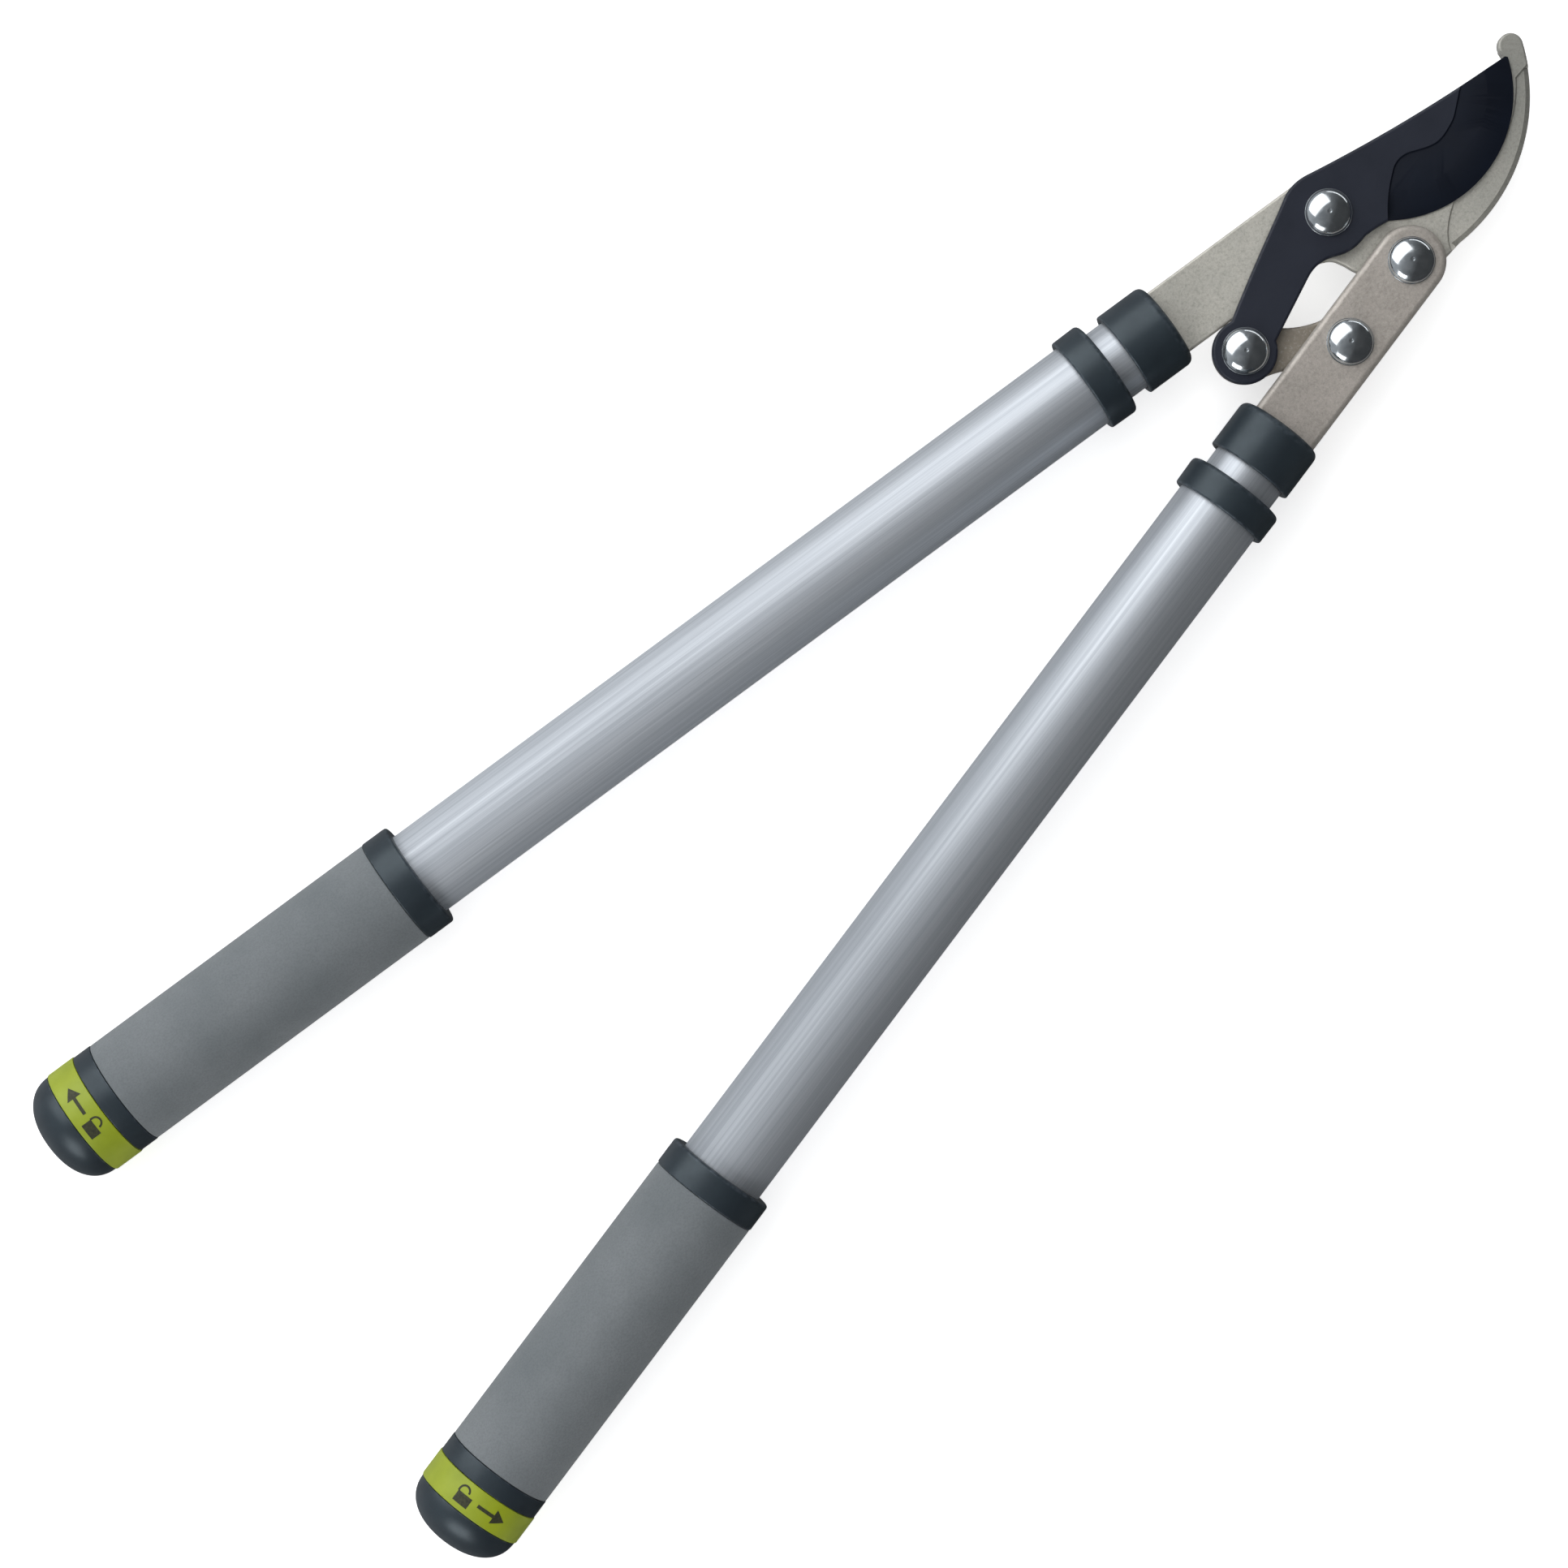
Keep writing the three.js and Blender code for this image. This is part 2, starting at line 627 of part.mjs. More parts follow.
function twistBand() {
  return ring(
    BAND_AT + CLEARANCE, DOME_AT - CLEARANCE, SPIGOT_RADIUS + CLEARANCE, BAND_RADIUS,
  );
}

const STUD_AT = COLLAR_WALL + CLEARANCE + INNER_LENGTH + CLEARANCE + PLUG_FLANGE;
const STOP_NUT_AT = STUD_AT + STUD_LENGTH - STOP_NUT_LENGTH - STUD_PAST_NUT;
const STUD_END = STUD_AT + STUD_LENGTH;

// Closes the outer tube. Its hollow plug reaches in to the lock's stop nut, which is the stop
// that the handle comes to rest on when it is pushed together.
function endCap() {
  const plugRadius = OUTER_RADIUS - TUBE_WALL - CLEARANCE;
  const plugBore = plugRadius - CAP_PLUG_WALL;
  const plugFrom = STUD_END + CLEARANCE;
  const profile = [
    [DOME_AT + CAP_SOLID, 0],
    [DOME_AT + CAP_SOLID, plugBore],
    [plugFrom, plugBore],
    [plugFrom, plugRadius],
    [DOME_AT, plugRadius],
    [DOME_AT, DOME_RADIUS],
  ];
  const steps = 8;
  for (let i = 1; i < steps; i++) {
    const along = Math.sin((i / steps) * (Math.PI / 2));
    const radius = DOME_RADIUS * (1 - along ** DOME_POWER) ** (1 / DOME_POWER);
    profile.push([DOME_AT + DOME_LENGTH * along, radius]);
  }
  profile.push([DOME_AT + DOME_LENGTH, 0]);
  return turned(profile);
}

// The plug in the inner tube's rear end, with a flange that guides the tube and a stud.
function lockPlug() {
  const plugRadius = INNER_RADIUS - TUBE_WALL - CLEARANCE;
  const flangeRadius = OUTER_RADIUS - TUBE_WALL - CLEARANCE;
  const flangeAt = STUD_AT - PLUG_FLANGE;
  return turned([
    [flangeAt - PLUG_LENGTH, 0],
    [flangeAt - PLUG_LENGTH, plugRadius],
    [flangeAt, plugRadius],
    [flangeAt, flangeRadius],
    [STUD_AT, flangeRadius],
    [STUD_AT, STUD_RADIUS],
    [STUD_END, STUD_RADIUS],
    [STUD_END, 0],
  ], BOLT_SIDES);
}

const COLLET_AT = STUD_AT + COLLET_GAP;
const CONE_AT = COLLET_AT + COLLET_LENGTH - CONE_LENGTH + CONE_OUT;
const CONE_SLOPE = (CONE_LARGE - CONE_SMALL) / CONE_LENGTH;

// The cone screws along the stud and spreads the collet.
function lockCone() {
  const bore = STUD_RADIUS + CLEARANCE;
  return turned([
    [CONE_AT, bore],
    [CONE_AT, CONE_SMALL],
    [CONE_AT + CONE_LENGTH, CONE_LARGE],
    [CONE_AT + CONE_LENGTH, bore],
  ], BOLT_SIDES);
}

// The split collet grips the outer tube's bore. Its bore follows the cone.
function lockCollet() {
  const outer = OUTER_RADIUS - TUBE_WALL - CLEARANCE;
  const to = COLLET_AT + COLLET_LENGTH;
  const coneRadius = (at) => CONE_SMALL + CONE_SLOPE * (at - CONE_AT) + 2 * CLEARANCE;
  const body = turned([
    [COLLET_AT, CONE_SMALL + CLEARANCE],
    [COLLET_AT, outer],
    [to, outer],
    [to, coneRadius(to)],
    [CONE_AT, coneRadius(CONE_AT)],
  ], BOLT_SIDES);
  const slit = block(COLLET_AT - 1, to + 1, COLLET_SLIT / 2, outer / 2 + 1)
    .translate(0, 0, outer / 2 + 1);
  return combine(body, { cut: [slit] });
}

function stopNut() {
  const end = STOP_NUT_AT + STOP_NUT_LENGTH;
  const hexagon = turned(
    [[STOP_NUT_AT, 0], [STOP_NUT_AT, STOP_NUT_RADIUS], [end, STOP_NUT_RADIUS], [end, 0]], 6,
  );
  const bore = STUD_RADIUS + CLEARANCE;
  const drill = turned(
    [[STOP_NUT_AT - 1, 0], [STOP_NUT_AT - 1, bore], [end + 1, bore], [end + 1, 0]], BOLT_SIDES,
  );
  return combine(hexagon, { cut: [drill] });
}

// ---------------------------------------------------------------------------------------------
// Assembly
// ---------------------------------------------------------------------------------------------

function named(name, geometry, itsMaterial) {
  const mesh = new THREE.Mesh(geometry, itsMaterial);
  mesh.name = name;
  return mesh;
}

function cuttingHead() {
  const head = new THREE.Group();

  const lower = new THREE.Group();
  lower.position.z = LOWER_Z;
  lower.add(named("hook_plate", hookPlate(), blastedSteel));
  const link = named("link_plate", linkPlate(), blastedSteel);
  link.position.set(LINK_FRONT.x, LINK_FRONT.y, 0);
  link.rotation.z = LINK_REAR.clone().sub(LINK_FRONT).angle();
  lower.add(link);

  const upper = new THREE.Group();
  upper.position.z = UPPER_Z;
  upper.add(named("blade", blade(), coatedSteel));
  upper.add(named("lever_plate", leverPlate(), blastedSteel));
  head.add(lower, upper);

  const pivots = {
    main_pivot: MAIN_PIVOT,
    lever_pivot: LEVER_PIVOT,
    link_front: LINK_FRONT,
    link_rear: LINK_REAR,
  };
  for (const [name, at] of Object.entries(pivots)) {
    const fastening = new THREE.Group();
    fastening.position.set(at.x, at.y, 0);
    fastening.add(named(`${name}_bolt`, domedBolt(), polishedSteel));
    const flatWasher = named(`${name}_washer`, washer(), zincSteel);
    flatWasher.position.z = WASHER_Z;
    const nut = named(`${name}_nut`, lockNut(), zincSteel);
    nut.position.z = BOLT_END;
    fastening.add(flatWasher, nut);
    head.add(fastening);
  }
  return head;
}

// One telescopic handle. `plateThick`, `plateHalf` and `plateBeside` describe the plate that its
// collar closes round.
function handle(side, plateThick, plateHalf, plateBeside) {
  const parts = new THREE.Group();
  const add = (name, geometry, itsMaterial) => {
    const mesh = named(`${side}_${name}`, geometry, itsMaterial);
    parts.add(mesh);
    return mesh;
  };
  add("collar", collar(plateHalf, plateThick, plateBeside), blackPlastic);
  add("tang_insert", tangInsert(plateThick), innerPlastic);
  add("tang_pin_front", tangPin(), zincSteel).position.x = PINS_AT[0];
  add("tang_pin_rear", tangPin(), zincSteel).position.x = PINS_AT[1];
  add("inner_tube", innerTube(), tubeAluminium);
  add("guide_ring", guideRing(), blackPlastic);
  add("outer_tube", outerTube(), tubeAluminium);
  add("grip_core", gripCore(), blackPlastic);
  add("grip_sleeve", gripSleeve(), greyRubber);
  add("twist_band", twistBand(), limePlastic);
  add("end_cap", endCap(), blackPlastic);
  add("lock_plug", lockPlug(), innerPlastic);
  add("lock_collet", lockCollet(), innerPlastic);
  add("lock_cone", lockCone(), innerPlastic);
  add("lock_stop_nut", stopNut(), zincSteel);
  return parts;
}

function loppers() {
  const group = new THREE.Group();
  group.add(cuttingHead());

  // Each handle lies level with the middle of its own plate.
  const left = handle("left", LOWER_THICK, ARM_HALF, 0);
  const leftAt = onLeftAxis(LEFT_COLLAR_AT, 0);
  left.position.set(leftAt.x, leftAt.y, LOWER_Z + LOWER_THICK / 2);
  left.rotation.z = Math.PI - HANDLE_ANGLE;

  const right = handle("right", UPPER_THICK, LEVER_HALF, -LEVER_OFFSET);
  const rightAt = onRightAxis(RIGHT_COLLAR_AT, 0);
  right.position.set(rightAt.x, rightAt.y, UPPER_Z + UPPER_THICK / 2);
  right.rotation.z = Math.PI + HANDLE_ANGLE;

  group.add(left, right);
  return group;
}

export default loppers();
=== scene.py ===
# Bypass loppers with a compound head and telescopic handles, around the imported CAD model.
# Sizes named here are millimetres, in the CAD's own frame. Blender gets metres.

import json
import math

import bmesh
import bpy
from mathutils import Matrix, Vector


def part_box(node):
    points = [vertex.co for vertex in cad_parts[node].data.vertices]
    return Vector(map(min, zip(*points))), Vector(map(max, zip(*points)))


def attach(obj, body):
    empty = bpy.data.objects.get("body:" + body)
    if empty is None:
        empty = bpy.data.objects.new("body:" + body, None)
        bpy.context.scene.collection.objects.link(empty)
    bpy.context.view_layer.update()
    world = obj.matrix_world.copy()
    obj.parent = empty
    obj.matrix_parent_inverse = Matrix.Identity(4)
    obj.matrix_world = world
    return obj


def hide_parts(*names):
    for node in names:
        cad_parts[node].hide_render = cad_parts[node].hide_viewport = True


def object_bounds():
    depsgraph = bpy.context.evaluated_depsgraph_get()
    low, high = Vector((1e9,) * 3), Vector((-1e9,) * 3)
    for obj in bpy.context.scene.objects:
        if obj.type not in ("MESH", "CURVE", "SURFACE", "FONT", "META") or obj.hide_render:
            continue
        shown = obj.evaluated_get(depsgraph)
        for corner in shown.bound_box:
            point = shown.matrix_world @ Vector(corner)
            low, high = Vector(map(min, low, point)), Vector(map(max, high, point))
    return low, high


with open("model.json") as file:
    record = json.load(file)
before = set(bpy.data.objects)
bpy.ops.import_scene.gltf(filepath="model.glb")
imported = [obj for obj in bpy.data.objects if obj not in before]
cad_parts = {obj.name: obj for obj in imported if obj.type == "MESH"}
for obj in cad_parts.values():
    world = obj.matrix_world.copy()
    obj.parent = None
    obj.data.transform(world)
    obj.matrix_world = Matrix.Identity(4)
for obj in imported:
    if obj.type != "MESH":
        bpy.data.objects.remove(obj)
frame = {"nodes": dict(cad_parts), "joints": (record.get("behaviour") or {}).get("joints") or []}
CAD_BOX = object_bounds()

MM = 0.001
JOINTS = {joint["name"]: joint for joint in frame["joints"]}

# Cutting head. The pivots and the plates' heights come from the CAD pieces.
HANDLE_ANGLE = math.degrees(math.asin(JOINTS["left_slide"]["axis"][1]))
HOOK_ROUND = 0.9
LEVER_ROUND = 2.2
LINK_ROUND = 1.2
BLADE_ROUND = 1.0
STEP_SLOPE = 0.6  # how far the wall of a machined step leans
STACK_GAP = 0.2  # between the layers of the head
RUNNING = 0.15  # radial, between a bolt and a hole that turns on it
ARM_HALF = 12.9
LEVER_HALF = 12.8
TANG_HALF = 11.5
TANG_LENGTH = 35
LEVER_OFFSET = -1.1  # the lever plate's middle line beside its tube's axis, towards +Y
BOLT_RADIUS = 4
HEAD_RADIUS = 8.5
HEAD_RIM = 0.5
THREAD_PITCH, THREAD_DEPTH, THREAD_TURNS = 1.25, 0.5, 4
WASHER_RADIUS = 8
NUT_FLATS = 13
NUT_COLLAR = 1.6  # height of the round collar at the nut's free end
PIN_HOLE = 2.3
LINK_HOLE = 5.9
LINK_FRONT_RADIUS, LINK_REAR_RADIUS = 11.8, 11.2
LINK_WAIST = 7.4
LINK_FLANK = 60  # where each round end runs over into a flank, in degrees
CUT_CENTRE, CUT_RADIUS = (45.3, 15.4), 45.3
HOOK_OUTER_CENTRE, HOOK_OUTER_RADIUS = (33.9, 25.9), 67.04
HOOK_INNER_CENTRE, HOOK_INNER_RADIUS = (47.5, 17.5), 43
HOOK_TIP_RADIUS, HOOK_TIP_ANGLE = 4.5, -27.9
HOOK_LAND = 3
HOOK_RELIEF = 0.8
HOOK_CHAMFER = (2.1, 1.6)  # width and depth along the outer edge
BODY_RADIUS = 15.4
LOBE_RADIUS = 12.3
TAIL_RADIUS = 11.7
GRIND_STEP = 0.6
GRIND_WIDTH = 10
EDGE_THICK = 0.5

# Handles, measured back along the axis from the collar's front face
LOCK_AT = 402  # where the record has the twist joint's point
COLLAR_LENGTH = 19.3
COLLAR_WALL = 2.6
COLLAR_RADIUS = 16.5
COLLAR_ROUND = 3.2
COLLAR_SLOT_END = 5  # how far back the slot for the plate is cut
INNER_RADIUS = 14
TUBE_WALL = 1.2
INNER_LENGTH = 385
GUIDE_AT = 26.7
GUIDE_LENGTH = 11.2
GUIDE_RADIUS = 18.7
GUIDE_LIP = 3.3
OUTER_RADIUS = 16.2
GRIP_AT = 331.9
SLEEVE_AT = 342.5
SLEEVE_END = 463.5
BAND_AT = 470.6
DOME_AT = 481.8
DOME_LENGTH = 14.38
CORE_RADIUS = 18
SPIGOT_RADIUS = 18.5  # the core under the lime band
FRONT_RING_RADIUS = 20.6
SLEEVE_RADIUS = 20.35
REAR_RING_RADIUS = 20.5
BAND_RADIUS = 20.8
DOME_RADIUS = 20.4
DOME_POWER = 2.3
CAP_SOLID = 4
CAP_PLUG_WALL = 2.2
GAP = 0.3
SLEEVE_GAP = 0.12  # between the sleeve or the band and the rings beside it
PINS_AT = (8, 14.6)

# Print on the lime band
ARROW_SHAFT = (1.2, 8.4)  # from and to, round the band
ARROW_HEAD = (8.2, 4.8)  # where it starts, and its length
ARROW_HALF, SHAFT_HALF = 2.8, 0.65
LOCK_BESIDE = 4.6  # the padlock's middle
LOCK_HALF = 3.1
SHACKLE_RADIUS, SHACKLE_THICK = 2.0, 0.75
INK_SUNK, INK_PROUD = -0.05, 0.06

LIT_POINT = Vector((-0.2, 0, 0))  # metres, what the lights face
FLOOR_HALF, FLOOR_BELOW = 30.0, 0.0002  # metres
CREASE_ANGLE = 32  # degrees, above which an edge stays sharp
SHARP_HOLE = 0.3  # rounding where a hole meets the face of a rounded plate


# ---------------------------------------------------------------------------------------------
# Outlines: lists of (x, y) points
# ---------------------------------------------------------------------------------------------


def on_circle(centre, radius, degrees):
    a = math.radians(degrees)
    return centre[0] + radius * math.cos(a), centre[1] + radius * math.sin(a)


def arc(centre, radius, start, end, step=4.0):
    """Points along an arc, from one angle to the other in degrees, either way round."""
    count = max(2, math.ceil(abs(end - start) / step))
    return [on_circle(centre, radius, start + (end - start) * i / count) for i in range(count + 1)]


def circle(centre, radius, count=48):
    return [on_circle(centre, radius, 360 * i / count) for i in range(count)]


def bend(a, control, b, count=12):
    """A quadratic curve from a to b."""
    a, control, b = Vector(a), Vector(control), Vector(b)
    made = []
    for i in range(count + 1):
        t = i / count
        made.append(tuple(a * (1 - t) ** 2 + control * (2 * t * (1 - t)) + b * t * t))
    return made


def spline(points, count=6):
    """A smooth curve through all the points."""
    given = [Vector(p) for p in points]
    made = []
    for i in range(len(given) - 1):
        before, a, b = given[max(i - 1, 0)], given[i], given[i + 1]
        after = given[min(i + 2, len(given) - 1)]
        out, into = (b - before) / 2, (after - a) / 2
        for k in range(count + 1):
            t = k / count
            made.append(tuple(
                a * (2 * t**3 - 3 * t**2 + 1) + out * (t**3 - 2 * t**2 + t)
                + b * (3 * t**2 - 2 * t**3) + into * (t**3 - t**2)
            ))
    return made


def cleaned(points, apart=0.02):
    """The closed outline without points that fall on the one before."""
    made = []
    for p in points:
        if not made or math.dist(p, made[-1]) > apart:
            made.append(p)
    while math.dist(made[0], made[-1]) <= apart:
        made.pop()
    return made


def softened(points, count=5):
    """An outline or profile of (x, y) or (x, y, radius) points, with those corners rounded."""
    made = []
    for i, p in enumerate(points):
        here = Vector(p[:2])
        if len(p) < 3:
            made.append(tuple(here))
            continue
        before = Vector(points[i - 1][:2]) - here
        after = Vector(points[(i + 1) % len(points)][:2]) - here
        turn = math.pi - before.angle(after)
        reach = p[2] * math.tan(turn / 2)
        reach = min(reach, before.length * 0.49, after.length * 0.49)
        a, b = here + before.normalized() * reach, here + after.normalized() * reach
        made += bend(a, here, b, count)
    return made


def beside_axis(side):
    """A function from (along, beside) a handle's axis to (x, y).

    Along counts forwards from the collar's front face, and beside counts towards +Y."""
    place = handle_place(side)
    back = place.col[0].to_2d()
    start = place.translation.to_2d() / MM
    across = Vector((back.y, -back.x))

    def at(along, beside):
        return tuple(start - back * along + across * beside)

    return at


# ---------------------------------------------------------------------------------------------
# Meshes
# ---------------------------------------------------------------------------------------------


def piece(name, bm, material, place=None):
    """An object from a finished bmesh, smooth up to the crease angle."""
    bmesh.ops.recalc_face_normals(bm, faces=bm.faces[:])
    if place is not None:
        bm.transform(place)
    mesh = bpy.data.meshes.new(name)
    bm.to_mesh(mesh)
    bm.free()
    obj = bpy.data.objects.new(name, mesh)
    bpy.context.scene.collection.objects.link(obj)
    mesh.materials.append(material)
    smoothed(obj)
    return obj


def smoothed(obj):
    obj.data.polygons.foreach_set("use_smooth", [True] * len(obj.data.polygons))
    obj.data.set_sharp_from_angle(angle=math.radians(CREASE_ANGLE))
    obj.data.update()


def declare(obj, body, slot, *nodes):
    """The piece rides on a body and stands for these CAD nodes. The slot is not used."""
    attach(obj, body)
    if nodes:
        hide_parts(*nodes)
    return obj


def outer_turn(profile, i):
    """How much a profile point lies on an outward rounding, from 0 to 1."""
    before, here = Vector(profile[i - 1]), Vector(profile[i])
    after = Vector(profile[(i + 1) % len(profile)])
    if here.y < (before.y + after.y) / 2 or here == before or here == after:
        return 0.0
    return min(1.0, max(0.0, math.degrees((here - before).angle(after - here)) - 6) / 8)


def turned(profile, sides=96):
    """A bmesh turned about X from (along, radius) pairs in millimetres."""
    bm = bmesh.new()
    wear = bm.verts.layers.float.new("wear")
    rings = []
    for number, (along, radius) in enumerate(profile):
        if radius < 1e-6:
            rings.append([bm.verts.new((along * MM, 0, 0))])
            continue
        around = [2 * math.pi * i / sides for i in range(sides)]
        rings.append([
            bm.verts.new((along * MM, radius * MM * math.sin(a), radius * MM * math.cos(a)))
            for a in around
        ])
        rubbed = outer_turn(profile, number)
        for vert in rings[-1]:
            vert[wear] = rubbed
    pairs = list(zip(rings, rings[1:]))
    if len(rings[0]) > 1:
        pairs.append((rings[-1], rings[0]))
    for low, high in pairs:
        for i in range(sides):
            j = (i + 1) % sides
            below = low[i % len(low)], low[j % len(low)]
            above = high[j % len(high)], high[i % len(high)]
            corners = list(dict.fromkeys(below + above))
            if len(corners) > 2:
                bm.faces.new(corners)
    return bm


def inset(points, by):
    """The outline moved to its own left by a distance, corner by corner."""
    made = []
    for i, p in enumerate(points):
        before = (Vector(p) - Vector(points[i - 1])).normalized()
        after = (Vector(points[(i + 1) % len(points)]) - Vector(p)).normalized()
        normal = Vector((-before.y - after.y, before.x + after.x))
        if normal.length < 1e-6:
            normal = Vector((-before.y, before.x))
        normal.normalize()
        square = max(0.4, normal.dot(Vector((-before.y, before.x))))
        made.append(tuple(Vector(p) + normal * (by / square)))
    return made


def area(points):
    pairs = zip(points, points[1:] + points[:1])
    return sum(a[0] * b[1] - b[0] * a[1] for a, b in pairs) / 2


def slab(outline, low, high, rounding=0.0, holes=(), steps=5, slope=0.0):
    """A bmesh plate between two heights, with rounded edges and lightly broken holes.

    A slope makes a cutter whose foot is smaller all round, so its wall leans."""
    bm = bmesh.new()
    wear = bm.verts.layers.float.new("wear")
    caps = {low: [], high: []}
    broken = SHARP_HOLE if rounding else 0
    loops = [(cleaned(outline), rounding)] + [(hole, broken) for hole in holes]
    for number, (points, edge) in enumerate(loops):
        if (area(points) > 0) == (number > 0):
            points = points[::-1]
        levels = [(0, low), (0, high)]
        if slope:
            levels = [(slope, low), (0, low + slope), (0, high)]
        if edge:
            turns = [math.pi / 2 * k / steps for k in range(steps + 1)]
            foot = [(edge * (1 - math.sin(t)), low + edge * (1 - math.cos(t))) for t in turns]
            levels = foot + [(d, low + high - z) for d, z in reversed(foot)]
        rings = []
        for by, z in levels:
            moved = inset(points, by) if by > 1e-6 else points
            rings.append([bm.verts.new((x * MM, y * MM, z * MM)) for x, y in moved])
            if edge:
                for vert in rings[-1]:
                    vert[wear] = 1 - by / edge
        for a, b in zip(rings, rings[1:]):
            for i in range(len(a)):
                j = (i + 1) % len(a)
                bm.faces.new((a[i], a[j], b[j], b[i]))
        for z, ring in ((low, rings[0]), (high, rings[-1])):
            caps[z] += [bm.edges.get((v, ring[(i + 1) % len(ring)])) for i, v in enumerate(ring)]
    for edges in caps.values():
        bmesh.ops.triangle_fill(bm, use_beauty=True, edges=edges)
    return bm


def carve(obj, bm, material, operation="DIFFERENCE", place=None):
    """Cuts a closed bmesh out of the piece. The cut faces take the cutter's material."""
    cutter = piece("cutter", bm, material, place=place)
    cut = obj.modifiers.new("cut", "BOOLEAN")
    cut.object, cut.operation, cut.solver = cutter, operation, "EXACT"
    cut.material_mode = "TRANSFER"
    graph = bpy.context.evaluated_depsgraph_get()
    made = bpy.data.meshes.new_from_object(obj.evaluated_get(graph), depsgraph=graph)
    obj.modifiers.remove(cut)
    made.name = obj.name
    obj.data = made
    bpy.data.objects.remove(cutter)
    smoothed(obj)


def even_shading(obj):
    """Keeps the flats flat where they meet rounded edges."""
    fix = obj.modifiers.new("normals", "WEIGHTED_NORMAL")
    fix.keep_sharp = True
    return obj


# ---------------------------------------------------------------------------------------------
# Materials
# ---------------------------------------------------------------------------------------------


def srgb(r, g, b):
    """A colour from its 0 to 255 screen values."""
    def linear(v):
        v /= 255
        return v / 12.92 if v <= 0.04045 else ((v + 0.055) / 1.055) ** 2.4
    return linear(r), linear(g), linear(b), 1


class Finish:
    """A node material with a few shorthands."""

    def __init__(self, name, heading=0.0, **sockets):
        self.heading = heading  # where the grain runs, in degrees from +X
        self.material = bpy.data.materials.new(name)
        self.material.use_nodes = True
        self.tree = self.material.node_tree
        self.shader = self.tree.nodes["Principled BSDF"]
        for socket, value in sockets.items():
            self.shader.inputs[socket.replace("_", " ")].default_value = value
        self.where = self.add("TexCoord").outputs["Object"]

    def add(self, kind, settings=None, **inputs):
        made = self.tree.nodes.new("ShaderNode" + kind)
        for key, value in (settings or {}).items():
            setattr(made, key, value)
        for key, value in inputs.items():
            self.plug(made.inputs[key.replace("_", " ")], value)
        return made

    def plug(self, socket, value):
        if isinstance(value, bpy.types.NodeSocket):
            self.tree.links.new(value, socket)
        else:
            socket.default_value = value

    def noise(self, size, detail=3, stretch=(1, 1, 1), roughness=0.5):
        """Noise whose features are about that many millimetres, stretched by axis."""
        at = self.add(
            "Mapping", {"vector_type": "TEXTURE"}, Vector=self.where,
            Rotation=(0, 0, math.radians(self.heading)), Scale=[size * MM * s for s in stretch],
        )
        made = self.add(
            "TexNoise", Vector=at.outputs[0], Scale=1, Detail=detail, Roughness=roughness,
        )
        return made.outputs["Fac"]

    def ramp(self, value, low, high, dark, light):
        """A colour between two, as the value goes from low to high."""
        made = self.add("ValToRGB", Fac=value)
        first, last = made.color_ramp.elements
        first.position, first.color = low, dark
        last.position, last.color = high, light
        return made.outputs[0]

    def between(self, value, low, high, a, b):
        """A number from a to b, as the value goes from low to high."""
        made = self.add("MapRange", Value=value)
        for key, number in (("From Min", low), ("From Max", high), ("To Min", a), ("To Max", b)):
            made.inputs[key].default_value = number
        return made.outputs[0]

    def mix(self, factor, a, b):
        made = self.add("Mix", {"data_type": "RGBA"})
        self.plug(made.inputs[0], factor)
        self.plug(made.inputs[6], a)
        self.plug(made.inputs[7], b)
        return made.outputs[2]

    def edges(self):
        """One on the rounded edges, where a tool wears first."""
        return self.add("Attribute", {"attribute_name": "wear"}).outputs["Fac"]

    def times(self, a, b):
        made = self.add("Math", {"operation": "MULTIPLY"})
        self.plug(made.inputs[0], a)
        self.plug(made.inputs[1], b)
        return made.outputs[0]

    def colour(self, value):
        self.plug(self.shader.inputs["Base Color"], value)

    def rough(self, value):
        self.plug(self.shader.inputs["Roughness"], value)

    def bump(self, *heights):
        """Each height is (value, depth in millimetres)."""
        normal = None
        for value, depth in heights:
            made = self.add("Bump", Height=value, Distance=depth * MM, Strength=1)
            if normal:
                self.plug(made.inputs["Normal"], normal)
            normal = made.outputs[0]
        self.plug(self.shader.inputs["Normal"], normal)


def blasted_steel(name, dark, light, dulled=None):
    """Bead-blasted steel: fine grain, soft mottling, brighter rubbed edges.

    The hook gets darker towards its tip, over the two distances along X in `dulled`."""
    f = Finish(name, Metallic=0.45)
    mottle = f.noise(14, detail=4)
    grain = f.noise(0.5, detail=2)
    base = f.ramp(mottle, 0.3, 0.7, dark, light)
    base = f.mix(f.between(grain, 0.3, 0.7, 0.0, 0.22), base, srgb(118, 114, 106))
    specks = f.noise(1.1, detail=3, roughness=0.7)
    base = f.mix(f.between(specks, 0.5, 0.7, 0, 0.36), base, srgb(122, 118, 110))
    base = f.mix(f.between(specks, 0.46, 0.3, 0, 0.26), base, srgb(214, 211, 204))
    if dulled:
        along = f.add("SeparateXYZ", Vector=f.where).outputs["X"]
        share = f.between(along, dulled[0] * MM, dulled[1] * MM, 0, 0.55)
        base = f.mix(share, base, srgb(112, 114, 110))
    worn = f.times(f.edges(), f.between(f.noise(3, detail=4), 0.35, 0.65, 0.05, 0.4))
    f.colour(f.mix(worn, base, srgb(208, 205, 198)))
    f.rough(f.between(mottle, 0.3, 0.7, 0.58, 0.46))
    f.bump((grain, 0.05), (specks, 0.03))
    return f.material


